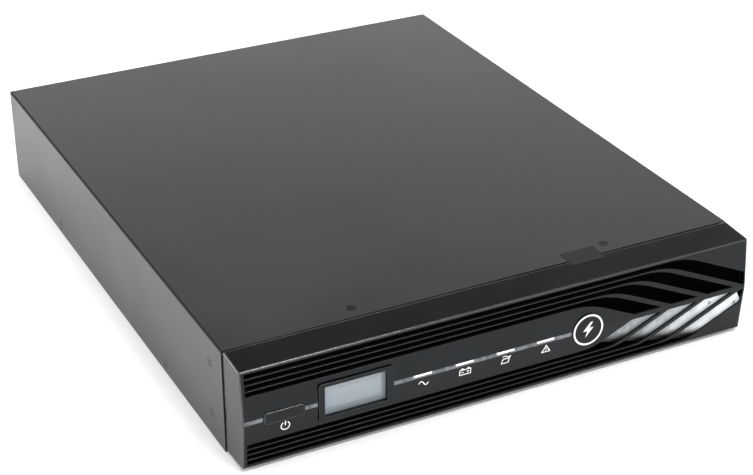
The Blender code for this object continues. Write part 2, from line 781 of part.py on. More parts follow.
def build_bezel(bezel):
    """The moulded front: a hollow shell with leaning faces, cut by the vent slots and its fittings."""
    reach = HALF_WIDTH - BEZEL_INSET
    body = prism("front_bezel", [bezel_section(0, behind(0))], -reach, reach, "X",
                 "bezel_plastic", bezel)
    round_edges(body, BEZEL_EDGE)
    hollow = prism("cut_bezel_hollow", [bezel_section(BEZEL_WALL, behind(OVERRUN))],
                   BEZEL_WALL - reach, reach - BEZEL_WALL, "X", None, bezel)
    cut(body, hollow)
    for number in range(SLOTS):
        for upper in (True, False):
            name = f"cut_{'upper' if upper else 'lower'}_slot_{number}"
            outline = slot_outline(number, upper)
            cut(body, prism(name, [outline], RIDGE_Y - OVERRUN, WALL_INSIDE_Y, "Y", None, bezel))

    tongue_low = (from_left(TONGUE_LEFT), behind(-TONGUE_ROOT), ROOF_UNDER + GAP)
    tongue_high = (from_left(TONGUE_LEFT + TONGUE_WIDTH), behind(TONGUE_REACH), CASE_HEIGHT)
    fuse(body, box("bezel_tongue", tongue_low, tongue_high, None, bezel))
    for sign, side in ((-1, "left"), (1, "right")):
        inner, outer = clip_sides()
        in_wall = HALF_WIDTH - BEZEL_INSET - BEZEL_WALL / 2
        root_front, root_back = behind(-2 * CLIP_REACH), behind(-CLIP_STEP)
        plan = [
            (inner, root_front),
            (inner, behind(CLIP_REACH)),
            (outer, behind(CLIP_REACH)),
            (outer, root_back),
            (in_wall, root_back),
            (in_wall, root_front),
        ]
        plan = [(sign * x, y) for x, y in plan]
        for height, level in zip(clip_places(), ("lower", "upper")):
            bottom, top = height - CLIP_HEIGHT / 2, height + CLIP_HEIGHT / 2
            clip = prism(f"bezel_clip_{side}_{level}", [plan], bottom, top, "Z", None, bezel)
            fuse(body, clip)
        inner, outer = sorted((sign * (reach - BEZEL_WALL - GAP), sign * HALF_WIDTH))
        notch_low = (inner, behind(-PRY_NOTCH_DEPTH), PRY_NOTCH_Z - PRY_NOTCH_HEIGHT / 2)
        notch_high = (outer, behind(OVERRUN), PRY_NOTCH_Z + PRY_NOTCH_HEIGHT / 2)
        cut(body, box(f"cut_pry_notch_{side}", notch_low, notch_high, None, bezel))
    return body


def build_inlays(bezel, body):
    """Display, button opening, bright strips, lights and badge, each let into the bezel's face."""
    front = INLAY_Y
    ahead = front - OVERRUN
    opening = rounded_rectangle(
        from_left(DISPLAY_LEFT) - GAP, RIDGE_Z - DISPLAY_HEIGHT / 2 - GAP,
        DISPLAY_WIDTH + 2 * GAP, DISPLAY_HEIGHT + 2 * GAP, DISPLAY_CORNER + GAP)
    inside = WALL_INSIDE_Y
    cut(body, prism("cut_display_opening", [opening], ahead, inside, "Y", None, bezel))
    outline = rounded_rectangle(from_left(DISPLAY_LEFT), RIDGE_Z - DISPLAY_HEIGHT / 2,
                                DISPLAY_WIDTH, DISPLAY_HEIGHT, DISPLAY_CORNER)
    window_left = from_left(DISPLAY_LEFT) + (DISPLAY_WIDTH - WINDOW_WIDTH) / 2
    window_bottom = RIDGE_Z - WINDOW_HEIGHT / 2 + WINDOW_LIFT
    hole = rounded_rectangle(window_left, window_bottom, WINDOW_WIDTH, WINDOW_HEIGHT,
                             WINDOW_CORNER)
    frame_back = front + DISPLAY_FRAME_DEPTH
    prism("lcd_frame", [outline, hole], front, frame_back, "Y", "bezel_plastic", bezel)
    glass = front + WINDOW_RECESS
    box("lcd_window", (window_left + GAP, glass, window_bottom + GAP),
        (window_left + WINDOW_WIDTH - GAP, glass + WINDOW_THICKNESS,
         window_bottom + WINDOW_HEIGHT - GAP), "clear_window", bezel)
    panel = frame_back + GAP
    box("lcd_panel", (window_left - PANEL_BORDER, panel, window_bottom - PANEL_BORDER),
        (window_left + WINDOW_WIDTH + PANEL_BORDER, panel + PANEL_THICKNESS,
         window_bottom + WINDOW_HEIGHT + PANEL_BORDER), "display_glass", bezel)

    button_hole = rounded_rectangle(
        from_left(BUTTON_LEFT) - GAP, RIDGE_Z - BUTTON_HEIGHT / 2 - GAP,
        BUTTON_WIDTH + 2 * GAP, BUTTON_HEIGHT + 2 * GAP, BUTTON_CORNER + GAP)
    cut(body, prism("cut_button_hole", [button_hole], ahead, inside, "Y", None, bezel))

    strip_low, strip_high = RIDGE_Z - STRIP_HEIGHT / 2, RIDGE_Z + STRIP_HEIGHT / 2
    for name, (left, right) in strip_stretches().items():
        low = (from_left(left), RIDGE_Y, strip_low)
        high = (from_left(right), RIDGE_Y + STRIP_THICKNESS, strip_high)
        strip = box(name, low, high, "silver_film", bezel)
        groove_low = (low[0] - GAP, RIDGE_Y - OVERRUN, low[2] - GAP)
        groove_high = (high[0] + GAP, high[1] + GAP, high[2] + GAP)
        cut(body, box("cut_groove_" + name, groove_low, groove_high, None, bezel))
    holes = boxes("cut_light_holes", light_boxes(GAP, ahead, inside), None, bezel)
    cut(body, holes)
    cut(strip, holes)
    plate_front = RIDGE_Y + BEZEL_WALL + 2 * GAP
    middle = RIDGE_Z + LIGHT_RISE
    pipe_low = (from_left(LIGHT_LEFT), plate_front, middle - PIPE_HEIGHT / 2)
    pipe_right = LIGHT_LEFT + (LIGHTS - 1) * LIGHT_PITCH + LIGHT_WIDTH
    pipe_back = plate_front + PIPE_THICKNESS
    pipe_high = (from_left(pipe_right), pipe_back, middle + PIPE_HEIGHT / 2)
    pipe = box("light_pipe", pipe_low, pipe_high, "white_light", bezel)
    prong_back = plate_front + PIPE_THICKNESS / 2
    prongs = boxes("light_prongs", light_boxes(0, RIDGE_Y - GAP, prong_back), None, bezel)
    fuse(pipe, prongs)

    badge_front = INLAY_Y + BADGE_SETBACK
    badge_back = badge_front + BADGE_THICKNESS
    badge_x = from_left(BADGE_X)
    profile = [
        (0, 0),
        (BADGE_RADIUS - BADGE_RIM, 0),
        (BADGE_RADIUS, -BADGE_RIM),
        (BADGE_RADIUS, -BADGE_THICKNESS),
        (0, -BADGE_THICKNESS),
    ]
    turned("badge", profile, (badge_x, badge_front, RIDGE_Z), "-Y", "bezel_plastic", bezel, 48)
    pocket = rod("cut_badge_pocket", BADGE_RADIUS + GAP, BADGE_THICKNESS + OVERRUN,
                 (badge_x, badge_back + GAP, RIDGE_Z), "-Y", None, bezel, 48)
    cut(body, pocket)


def build_button(bezel):
    """The power button: a cap with a lip that stops behind the bezel's wall."""
    centre = (from_left(BUTTON_LEFT + BUTTON_WIDTH / 2), INLAY_Y, RIDGE_Z)
    axis = anchor("power_button_axis", centre)
    cap = rounded_rectangle(centre[0] - BUTTON_WIDTH / 2, RIDGE_Z - BUTTON_HEIGHT / 2,
                            BUTTON_WIDTH, BUTTON_HEIGHT, BUTTON_CORNER)
    button = prism("power_button", [cap], INLAY_Y, LIP_FRONT_Y + BUTTON_LIP / 2, "Y",
                   "bezel_plastic", axis)
    round_edges(button, BUTTON_EDGE)
    lip_low = (centre[0] - BUTTON_WIDTH / 2 - BUTTON_LIP, LIP_FRONT_Y,
               RIDGE_Z - BUTTON_HEIGHT / 2 - BUTTON_LIP)
    lip_high = (centre[0] + BUTTON_WIDTH / 2 + BUTTON_LIP, LIP_BACK_Y,
                RIDGE_Z + BUTTON_HEIGHT / 2 + BUTTON_LIP)
    fuse(button, box("button_lip", lip_low, lip_high, None, axis))
    half = SWITCH_SIDE / 2
    low = (centre[0] - half, SWITCH_FRONT_Y, RIDGE_Z - half)
    high = (centre[0] + half, SWITCH_FRONT_Y + SWITCH_DEPTH, RIDGE_Z + half)
    box("button_switch", low, high, "connector_grey", bezel)


def build_bezel_fittings(bezel):
    """Display board, dust filters and the bright insert, all behind the bezel's face."""
    last_light = LIGHT_LEFT + (LIGHTS - 1) * LIGHT_PITCH + LIGHT_WIDTH
    low = (from_left(BUTTON_LEFT), DISPLAY_BOARD_FRONT_Y, RIDGE_Z - DISPLAY_HEIGHT / 2)
    high = (from_left(last_light), DISPLAY_BOARD_BACK_Y, RIDGE_Z + DISPLAY_HEIGHT / 2)
    box("display_board", low, high, "circuit_board", bezel)

    filter_back = behind(-FILTER_BACK)
    filter_front = filter_back - FILTER_THICKNESS
    edge = BEZEL_WALL + 3 * GAP
    left, right = from_left(BEZEL_INSET + edge), from_right(BEZEL_INSET + edge)
    top, bottom = FACE_TOP - edge, BOTTOM_RISE + edge
    band_top = CASE_HEIGHT - TOP_SLOT_DROP - (SLOTS - 1) * SLOT_PITCH - SLOT_HEIGHT
    band_bottom = BOTTOM_SLOT_RISE + (SLOTS - 1) * SLOT_PITCH + SLOT_HEIGHT
    chevron_left = from_right(UPPER_CHEVRON_START)
    bend_left = chevron_left - (band_top - RIDGE_TOP) / UPPER_SLOPE
    upper = [
        (left, band_top - FILTER_OVERLAP),
        (bend_left, band_top - FILTER_OVERLAP),
        (chevron_left, RIDGE_TOP - FILTER_OVERLAP),
        (right, RIDGE_TOP - FILTER_OVERLAP),
        (right, top),
        (left, top),
    ]
    prism("upper_dust_filter", [upper], filter_front, filter_back, "Y", "filter_foam", bezel)
    lower_bend = from_right(LOWER_CHEVRON_START) - (RIDGE_BOTTOM - band_bottom) / LOWER_SLOPE
    lower = [
        (left, bottom),
        (right, bottom),
        (right, RIDGE_BOTTOM + FILTER_OVERLAP),
        (from_right(LOWER_CHEVRON_START), RIDGE_BOTTOM + FILTER_OVERLAP),
        (lower_bend, band_bottom + FILTER_OVERLAP),
        (left, band_bottom + FILTER_OVERLAP),
    ]
    prism("lower_dust_filter", [lower], filter_front, filter_back, "Y", "filter_foam", bezel)

    wall = BEZEL_WALL + 2 * GAP
    insert_top, insert_bottom = RIDGE_BOTTOM - GAP, BOTTOM_RISE + edge + 2 * GAP
    front_top, front_bottom = face_y(insert_top) + wall, face_y(insert_bottom) + wall
    section = [
        (front_top, insert_top),
        (front_top + INSERT_THICKNESS, insert_top),
        (front_bottom + INSERT_THICKNESS, insert_bottom),
        (front_bottom, insert_bottom),
    ]
    sheet = prism("chevron_insert", [section], from_right(INSERT_LEFT), right, "X",
                  "silver_film", bezel)
    corner = [
        (from_right(INSERT_LEFT) - GAP, RIDGE_Z - INSERT_CORNER_DROP),
        (from_right(INSERT_LOW_LEFT), insert_bottom),
        (from_right(INSERT_LOW_LEFT), insert_bottom - OVERRUN),
        (from_right(INSERT_LEFT) - GAP, insert_bottom - OVERRUN),
    ]
    cut(sheet, prism("cut_insert_corner", [corner], RIDGE_Y, DISPLAY_BOARD_BACK_Y, "Y", None,
                     bezel))


# ---------------------------------------------------------------- battery drawer


def build_drawer(drawer):
    """A tray with a tall face that closes the bay, carrying the batteries and the rear plug."""
    left, right = from_left(BAY_LEFT), from_left(BAY_LEFT + TRAY_WIDTH)
    front, back = behind(TRAY_FRONT), behind(TRAY_BACK)
    floor, wall_top = TRAY_FLOOR, TRAY_FLOOR + TRAY_WALL_HEIGHT
    tray = box("battery_tray", (left, front, floor), (right, back, floor + SHEET),
               "plated_steel", drawer)
    overlap = TRAY_FACE_OVERLAP + DRAWER_SIDE_CLEARANCE
    face = box("tray_face", (left - overlap, front, floor),
               (right + overlap, front + SHEET, ROOF_UNDER - GAP), None, drawer)
    left_wall = box("tray_left_wall", (left, front, floor), (left + SHEET, back, wall_top),
                    None, drawer)
    right_wall = box("tray_right_wall", (right - SHEET, front, floor), (right, back, wall_top),
                     None, drawer)
    rear_wall = box("tray_rear_wall", (left, back - SHEET, floor), (right, back, wall_top),
                    None, drawer)
    fuse(tray, face, left_wall, right_wall, rear_wall)

    for across in range(BATTERIES_ACROSS):
        for deep in range(BATTERIES_DEEP):
            build_battery(drawer, across, deep)
    build_handle(drawer, (left + right) / 2, front)

    plug_left = (left + right) / 2 - PLUG_WIDTH / 2
    box("tray_plug", (plug_left, back + GAP, floor + PLUG_RISE),
        (plug_left + PLUG_WIDTH, back + GAP + PLUG_LENGTH, floor + PLUG_RISE + PLUG_HEIGHT),
        "connector_grey", drawer)


def build_battery(drawer, across, deep):
    """A sealed battery on its side, terminals facing the wire channel down the drawer's middle."""
    inner_left = from_left(BAY_LEFT) + SHEET
    column = inner_left + GAP if across == 0 else inner_left + BATTERY_HEIGHT + WIRE_CHANNEL - GAP
    row = behind(TRAY_FRONT) + SHEET + GAP + deep * (BATTERY_LENGTH + GAP)
    low = (column, row, BATTERY_REST)
    high = (column + BATTERY_HEIGHT, row + BATTERY_LENGTH, BATTERY_REST + BATTERY_WIDTH)
    battery = box(f"battery_{across * BATTERIES_DEEP + deep + 1}", low, high, "battery_case", drawer)
    round_edges(battery, BATTERY_EDGE)
    tab_left = high[0] - TERMINAL_ROOT if across == 0 else low[0] - TERMINAL_REACH
    tab_right = tab_left + TERMINAL_REACH + TERMINAL_ROOT
    tabs = []
    tab_under = BATTERY_REST + BATTERY_WIDTH / 2 - TERMINAL_THICKNESS / 2
    for y in (row + TERMINAL_INSET, row + BATTERY_LENGTH - TERMINAL_INSET - TERMINAL_WIDTH):
        tab_high = (tab_right, y + TERMINAL_WIDTH, tab_under + TERMINAL_THICKNESS)
        tabs.append(((tab_left, y, tab_under), tab_high))
    fuse(battery, boxes(f"battery_terminals_{across}_{deep}", tabs, None, drawer))


def build_handle(drawer, middle, face_front):
    """A bent wire handle on the drawer's face."""
    curve = bpy.data.curves.new("tray_handle", "CURVE")
    curve.dimensions = "3D"
    curve.bevel_depth = HANDLE_RADIUS
    curve.bevel_resolution = 2
    curve.use_fill_caps = True
    half, corner = HANDLE_SPAN / 2, 3 * HANDLE_RADIUS
    reach = HANDLE_REACH
    plan = [(-half, 0)] + arc((corner - half, corner - reach), corner, 180, 270, 3)
    plan += arc((half - corner, corner - reach), corner, -90, 0, 3) + [(half, 0)]
    spline = curve.splines.new("POLY")
    spline.points.add(len(plan) - 1)
    for point, (x, y) in zip(spline.points, plan):
        point.co = (x, y, 0, 1)
    centre = (middle, face_front - GAP, RIDGE_Z - DISPLAY_HEIGHT / 2 - HANDLE_DROP)
    finish_object(bpy.data.objects.new("tray_handle", curve), centre, "plated_steel", drawer)


def build_bay_socket(case):
    """The fixed connector that the drawer's plug enters."""
    middle = from_left(BAY_LEFT + TRAY_WIDTH / 2)
    half = PLUG_WIDTH / 2 + GAP + SOCKET_WALL
    bottom = TRAY_FLOOR + PLUG_RISE - GAP - SOCKET_WALL
    top = TRAY_FLOOR + PLUG_RISE + PLUG_HEIGHT + GAP + SOCKET_WALL
    back = behind(BAY_BACK) - GAP
    front = back - SOCKET_LENGTH
    socket = box("bay_socket", (middle - half, front, bottom), (middle + half, back, top),
                 "connector_grey", case)
    cavity_low = (middle - half + SOCKET_WALL, front - OVERRUN, bottom + SOCKET_WALL)
    cavity_high = (middle + half - SOCKET_WALL, front + SOCKET_DEPTH, top - SOCKET_WALL)
    cut(socket, box("cut_bay_socket", cavity_low, cavity_high, None, case))


# ---------------------------------------------------------------- rear panel and its fittings


def fan_centres():
    return [(from_left(FAN_LEFT + FAN_SIDE / 2 + i * FAN_SPACING), CASE_HEIGHT / 2) for i in (0, 1)]


def socket_outline(x, z, grow):
    """The six-sided mouth of an appliance socket: a rectangle with its two lower corners cut off."""
    half_width, half_height = OUTLET_WIDTH / 2 + grow, OUTLET_HEIGHT / 2 + grow
    chamfer = OUTLET_CHAMFER
    return [
        (x - half_width, z + half_height),
        (x - half_width, z - half_height + chamfer),
        (x - half_width + chamfer, z - half_height),
        (x + half_width - chamfer, z - half_height),
        (x + half_width, z - half_height + chamfer),
        (x + half_width, z + half_height),
    ]


def outlet_block_span():
    left = from_right(OUTLET_BLOCK_RIGHT + OUTLETS * OUTLET_PITCH)
    return left, from_right(OUTLET_BLOCK_RIGHT)


def flanged_block(name, left, right, bottom, top, finish, case, panel):
    """A moulded block that passes through the panel, with a flange outside it."""
    block = box(name, (left, REAR_Y - BLOCK_DEPTH, bottom),
                (right, REAR_Y + FLANGE_OUT, top), finish, case)
    lip = FLANGE_LIP
    flange = box(name + "_flange", (left - lip, REAR_Y + GAP, bottom - lip),
                 (right + lip, REAR_Y + FLANGE_OUT, top + lip), None, case)
    fuse(block, flange)
    hole = box("hole_" + name, (left - GAP, PANEL_INSIDE_Y - SHEET, bottom - GAP),
               (right + GAP, REAR_Y + SHEET, top + GAP), None, case)
    cut(panel, hole)
    return block


def build_outlets(case, panel):
    left, right = outlet_block_span()
    outside = REAR_Y + OVERRUN
    for level, z in zip(("lower", "upper"), OUTLET_ROWS_Z):
        half = OUTLET_BLOCK_HEIGHT / 2
        block = flanged_block(f"outlet_block_{level}", left, right, z - half, z + half,
                              "black_plastic", case, panel)
        pins = []
        rings = []
        for number in range(OUTLETS):
            x = left + (number + 0.5) * OUTLET_PITCH
            ring = [socket_outline(x, z, 0), socket_outline(x, z, -OUTLET_ISLAND_MARGIN)]
            rings += ring
            for offset, rise in ((-PIN_SPREAD, -EARTH_RISE), (0, EARTH_RISE), (PIN_SPREAD, -EARTH_RISE)):
                half_w, half_h = PIN_SLOT[0] / 2, PIN_SLOT[1] / 2
                low = (x + offset - half_w, REAR_Y - PIN_SLOT_DEPTH, z + rise - half_h)
                pins.append((low, (x + offset + half_w, outside, z + rise + half_h)))
        deep = REAR_Y + FLANGE_OUT - OUTLET_RING_DEPTH
        cut(block, prism(f"cut_outlet_rings_{level}", rings, deep, outside, "Y", None, case))
        cut(block, boxes(f"cut_outlet_pins_{level}", pins, None, case))


def build_inlet(case, panel):
    x, z = from_right(INLET_X), INLET_Z
    half_width, half_height = INLET_FLANGE[0] / 2 - FLANGE_LIP, INLET_FLANGE[1] / 2 - FLANGE_LIP
    inlet = flanged_block("mains_inlet", x - half_width, x + half_width, z - half_height,
                          z + half_height, "black_plastic", case, panel)
    outside = REAR_Y + OVERRUN
    cavity = prism("cut_inlet_cavity", [socket_outline(x, z, 0)],
                   REAR_Y + FLANGE_OUT - INLET_CAVITY_DEPTH, outside, "Y", None, case)
    cut(inlet, cavity)


def build_breaker(case, panel):
    """A push-to-reset breaker: a body through the panel, its nut outside, and the button."""
    x, z = from_right(BREAKER_X), BREAKER_Z
    nut_back = REAR_Y + GAP
    nut_front = REAR_Y + FLANGE_OUT - GAP
    profile = [
        (0, nut_front - REAR_Y + BREAKER_DEPTH),
        (BREAKER_NUT, nut_front - REAR_Y + BREAKER_DEPTH),
        (BREAKER_NUT, nut_back - REAR_Y + BREAKER_DEPTH),
        (BREAKER_RADIUS, nut_back - REAR_Y + BREAKER_DEPTH),
        (BREAKER_RADIUS, 0),
        (0, 0),
    ]
    inside = REAR_Y - BREAKER_DEPTH
    body = turned("breaker_body", profile, (x, inside, z), "+Y", "black_plastic", case, 18)
    cut(panel, rod("hole_breaker", BREAKER_RADIUS + GAP, 4 * SHEET,
                   (x, PANEL_INSIDE_Y - SHEET, z), "+Y", None, case, 18))
    bore_start = REAR_Y - BREAKER_GUIDE - BREAKER_TRAVEL
    cut(body, rod("bore_breaker", BREAKER_BUTTON_RADIUS + GAP, BREAKER_DEPTH,
                  (x, bore_start, z), "+Y", None, case, 18))
    axis = anchor("breaker_button_axis", (x, bore_start + GAP, z))
    axis_end = REAR_Y + BREAKER_BUTTON_REACH
    rod("breaker_button", BREAKER_BUTTON_RADIUS, axis_end - bore_start - GAP,
        (x, bore_start + GAP, z), "+Y", "reset_white", axis, 18)


def port(name, x, size, finish, case, panel):
    """A port's shell on the rear board, with its mouth in the panel."""
    width, height, length = size
    bottom = PORTS_Z
    low = (x - width / 2, REAR_Y + PORT_OUT - length, bottom)
    high = (x + width / 2, REAR_Y + PORT_OUT, bottom + height)
    shell = box(name, low, high, finish, case)
    hole_low = (low[0] - GAP, PANEL_INSIDE_Y - SHEET, low[2] - GAP)
    hole_high = (high[0] + GAP, REAR_Y + SHEET, high[2] + GAP)
    cut(panel, box("hole_" + name, hole_low, hole_high, None, case))
    return shell, low, high


def build_ports(case, panel):
    wall = PORT_WALL
    shell, low, high = port("usb_port", from_right(USB_X), USB_SIZE, "port_shell", case, panel)
    mouth_low = (low[0] + wall, low[1] + 2 * wall, low[2] + wall)
    mouth_high = (high[0] - wall, high[1] + wall, high[2] - wall)
    cut(shell, box("cut_usb_mouth", mouth_low, mouth_high, None, case))

    shell, low, high = port("network_ports", from_right(NETWORK_X), NETWORK_SIZE, "port_shell",
                            case, panel)
    middle = (low[0] + high[0]) / 2
    mouths = []
    for start, end in ((low[0] + wall, middle - wall / 2), (middle + wall / 2, high[0] - wall)):
        mouth_low = (start, low[1] + 3 * wall, low[2] + wall)
        mouths.append((mouth_low, (end, high[1] + wall, high[2] - 2 * wall)))
    cut(shell, boxes("cut_network_mouths", mouths, None, case))

    x = from_right(EPO_X)
    header, low, high = port("epo_header", x, EPO_SIZE, "terminal_green", case, panel)
    plug_width, plug_height = EPO_PLUG_SIZE
    middle_z = (low[2] + high[2]) / 2
    plug_start = REAR_Y + PORT_OUT - EPO_PLUG_DEPTH
    mouth_low = (x - plug_width / 2 - GAP, plug_start - GAP, middle_z - plug_height / 2 - GAP)
    mouth_high = (x + plug_width / 2 + GAP, REAR_Y + wall, middle_z + plug_height / 2 + GAP)
    cut(header, box("cut_epo_mouth", mouth_low, mouth_high, None, case))
    axis = anchor("epo_plug_axis", (x, plug_start, middle_z))
    box("epo_plug", (x - plug_width / 2, plug_start, middle_z - plug_height / 2),
        (x + plug_width / 2, REAR_Y + REAR_PROUD, middle_z + plug_height / 2),
        "terminal_green", axis)


def build_slot_cover(case, panel):
    x, z = from_right(SLOT_COVER_X), SLOT_COVER_Z
    half_width, half_height = SLOT_COVER_SIZE[0] / 2, SLOT_COVER_SIZE[1] / 2
    box("slot_cover", (x - half_width, REAR_Y + GAP, z - half_height),
        (x + half_width, REAR_Y + GAP + SLOT_COVER_THICKNESS, z + half_height),
        "satin_paint", case)
    margin = SLOT_OPENING_MARGIN
    hole_low = (x - half_width + margin, PANEL_INSIDE_Y - SHEET, z - half_height + margin)
    hole_high = (x + half_width - margin, REAR_Y + SHEET, z + half_height - margin)
    cut(panel, box("hole_slot", hole_low, hole_high, None, case))


def build_fan(case, panel, side, centre):
    """An exhaust fan: its frame inside the panel, its rotor, and the wire guard outside."""
    x, z = centre
    half = FAN_SIDE / 2
    frame_back = PANEL_INSIDE_Y - GAP
    frame_front = frame_back - FAN_DEPTH
    outline = rounded_rectangle(x - half, z - half, FAN_SIDE, FAN_SIDE, FAN_CORNER)
    frame = prism(f"fan_frame_{side}", [outline], frame_front, frame_back, "Y",
                  "black_plastic", case)
    cut(frame, rod(f"fan_bore_{side}", FAN_BORE, 2 * FAN_DEPTH, (x, frame_front - SHEET, z),
                   "+Y", None, case, 32))
    mount_front = frame_back - FAN_MOUNT_THICKNESS
    reach, strut = FAN_BORE + SHEET, FAN_STRUT / 2
    cross = []
    for quarter in range(4):
        turn = Matrix.Rotation(math.radians(90 * quarter), 2)
        for point in ((reach, -strut), (reach, strut), (strut, strut)):
            cross.append(tuple(Vector(centre) + turn @ Vector(point)))
    recess = (FAN_MOUNT_THICKNESS - FAN_STRUT_THICKNESS) / 2
    struts = prism(f"fan_struts_{side}", [cross], mount_front + recess, frame_back - recess, "Y",
                   None, case)
    mount = rod(f"fan_mount_{side}", FAN_HUB, FAN_MOUNT_THICKNESS, (x, mount_front, z), "+Y",
                None, case, 24)
    fuse(frame, struts, mount)
    cut(panel, rod(f"hole_fan_{side}", FAN_BORE, 4 * SHEET, (x, PANEL_INSIDE_Y - SHEET, z),
                   "+Y", None, case, 32))

    hub_end = mount_front - 2 * GAP
    hub_start = hub_end - FAN_HUB_LENGTH
    axis = anchor(f"fan_axis_{side}", (x, hub_start, z))
    profile = [
        (0, FAN_HUB_LENGTH),
        (FAN_HUB, FAN_HUB_LENGTH),
        (FAN_HUB, FAN_HUB_RIM),
        (FAN_HUB - FAN_HUB_RIM, 0),
        (0, 0),
    ]
    rotor = turned(f"fan_rotor_{side}", profile, (x, hub_start, z), "+Y", "black_plastic", axis, 24)
    fuse(rotor, fan_blades(f"fan_blades_{side}", (x, (hub_start + hub_end) / 2, z), axis))

    build_guard(case, side, centre)


def fan_blades(name, centre, parent):
    tip = FAN_BORE - FAN_TIP_CLEARANCE
    root = FAN_HUB - FAN_BLADE_ROOT
    size = Matrix.Diagonal((tip - root, FAN_BLADE_CHORD, FAN_BLADE_THICKNESS, 1))
    pitched = Matrix.Rotation(math.radians(FAN_BLADE_PITCH), 4, "X") @ size
    outwards = Matrix.Translation(((tip + root) / 2, 0, 0)) @ pitched

    def build(work):
        for number in range(FAN_BLADES):
            turn = Matrix.Rotation(math.tau * number / FAN_BLADES, 4, "Y")
            bmesh.ops.create_cube(work, size=1, matrix=turn @ outwards)

    return finish_object(bpy.data.objects.new(name, mesh_from(build, name)), centre, None, parent)


def build_guard(case, side, centre):
    """Rings of wire on two crossed arms that reach the fan's corner screws."""
    x, z = centre
    front, back = REAR_Y + GAP, REAR_Y + GAP + GUARD_WIRE
    half = GUARD_WIRE / 2
    loops = []
    for number in range(GUARD_RINGS):
        radius = GUARD_FIRST_RING + number * GUARD_RING_PITCH
        loops += [circle(centre, radius + half, 24), circle(centre, radius - half, 24)]
    rings = prism(f"guard_rings_{side}", loops, front, back, "Y", None, case)
    arms = []
    for direction in (1, -1):
        tilt = math.radians(45) * direction
        along = Vector((math.cos(tilt), math.sin(tilt))) * GUARD_ARM
        across = Vector((-math.sin(tilt), math.cos(tilt))) * GUARD_WIRE
        middle = Vector(centre)
        corners = [middle + along + across, middle - along + across,
                   middle - along - across, middle + along - across]
        arms.append([(point.x, point.y) for point in corners])
    guard = prism(f"fan_guard_{side}", [arms[0]], front, back + GUARD_STEP, "Y", "plated_steel",
                  case)
    other = prism(f"guard_arm_{side}", [arms[1]], front, back, "Y", None, case)
    fuse(guard, other, rings)


def build_rear_panel(case):
    panel = box("rear_panel", (SHEET - INNER_HALF, PANEL_INSIDE_Y, FLOOR_TOP + GAP),
                (INNER_HALF - SHEET, REAR_Y, ROOF_UNDER), "satin_paint", case)
    for side, centre in zip(("left", "right"), fan_centres()):
        build_fan(case, panel, side, centre)
    build_outlets(case, panel)
    build_inlet(case, panel)
    build_breaker(case, panel)
    build_ports(case, panel)
    build_slot_cover(case, panel)


# ---------------------------------------------------------------- electronics


def power_board_sides():
    return from_left(BAY_RIGHT + SHEET + BOARD_MARGIN), from_right(2 * SHEET + BOARD_MARGIN)


def comms_board_sides():
    """Left, right, front and back of the rear board, under the ports."""
    right = from_right(USB_X - USB_SIZE[0])
    back = PANEL_INSIDE_Y - 2 * GAP
    return right - COMMS_BOARD_WIDTH, right, back - COMMS_BOARD_LENGTH, back


def build_boards(case):
    left, right = power_board_sides()
    front, back = behind(POWER_BOARD_FRONT), behind(POWER_BOARD_FRONT + POWER_BOARD_LENGTH)
    box("power_board", (left, front, BOARD_UNDER), (right, back, BOARD_TOP), "circuit_board", case)
    left, right, front, back = comms_board_sides()
    box("comms_board", (left, front, BOARD_UNDER), (right, back, BOARD_TOP), "circuit_board", case)


def heatsink_section(left):
    """A comb as (x, z) points: a base with upright fins."""
    width, _, height = HEATSINK_SIZE
    bottom = BOARD_TOP + GAP
    pitch = (width - HEATSINK_FIN) / (HEATSINK_FINS - 1)
    points = [(left, bottom), (left + width, bottom)]
    for number in reversed(range(HEATSINK_FINS)):
        start = left + number * pitch
        points += [(start + HEATSINK_FIN, bottom + height), (start, bottom + height)]
        if number:
            points += [(start, bottom + HEATSINK_BASE)]
            points += [(start - pitch + HEATSINK_FIN, bottom + HEATSINK_BASE)]
    return points


def build_components(case):
    left, right = power_board_sides()
    bottom = BOARD_TOP + GAP
    sink_left = left + HEATSINK_PLACE[0]
    sink_front = behind(POWER_BOARD_FRONT + HEATSINK_PLACE[1])
    prism("heatsink", [heatsink_section(sink_left)], sink_front, sink_front + HEATSINK_SIZE[1],
          "Y", "fin_aluminium", case)

    profile = [
        (0, CAPACITOR_HEIGHT),
        (CAPACITOR_RADIUS - CAPACITOR_RIM, CAPACITOR_HEIGHT),
        (CAPACITOR_RADIUS, CAPACITOR_HEIGHT - CAPACITOR_RIM),
        (CAPACITOR_RADIUS, 0),
        (0, 0),
    ]
    capacitor_place = (right - 2 * CAPACITOR_RADIUS, sink_front + CAPACITOR_RADIUS, bottom)
    turned("bulk_capacitor", profile, capacitor_place, "+Z", "capacitor_sleeve", case, 20)

    bpy.ops.mesh.primitive_torus_add(major_radius=COIL_RADIUS, minor_radius=COIL_TUBE,
                                     major_segments=20, minor_segments=10)
    coil = bpy.context.object
    coil.name = "filter_inductor"
    for holder in list(coil.users_collection):
        holder.objects.unlink(coil)
    coil_y = behind(POWER_BOARD_FRONT + COIL_PLACE[1])
    centre = (left + COIL_PLACE[0], coil_y, bottom + COIL_TUBE + GAP)
    finish_object(coil, centre, "copper_coil", case)

    core_x = (from_left(BAY_LEFT) + from_left(BAY_RIGHT)) / 2
    core_y = (behind(BAY_BACK) + PANEL_INSIDE_Y - FAN_DEPTH) / 2
    floor = FLOOR_TOP + GAP
    width, depth, height = CORE_SIZE
    core = box("charger_transformer", (core_x - width / 2, core_y - depth / 2, floor),
               (core_x + width / 2, core_y + depth / 2, floor + height), "plated_steel", case)
    wind_width, wind_depth, wind_height = WINDING_SIZE
    low_z = floor + (height - wind_height) / 2
    winding = box("transformer_winding",
                  (core_x - wind_width / 2, core_y - wind_depth / 2, low_z),
                  (core_x + wind_width / 2, core_y + wind_depth / 2, low_z + wind_height),
                  None, case)
    fuse(core, winding)


# ---------------------------------------------------------------- assembly

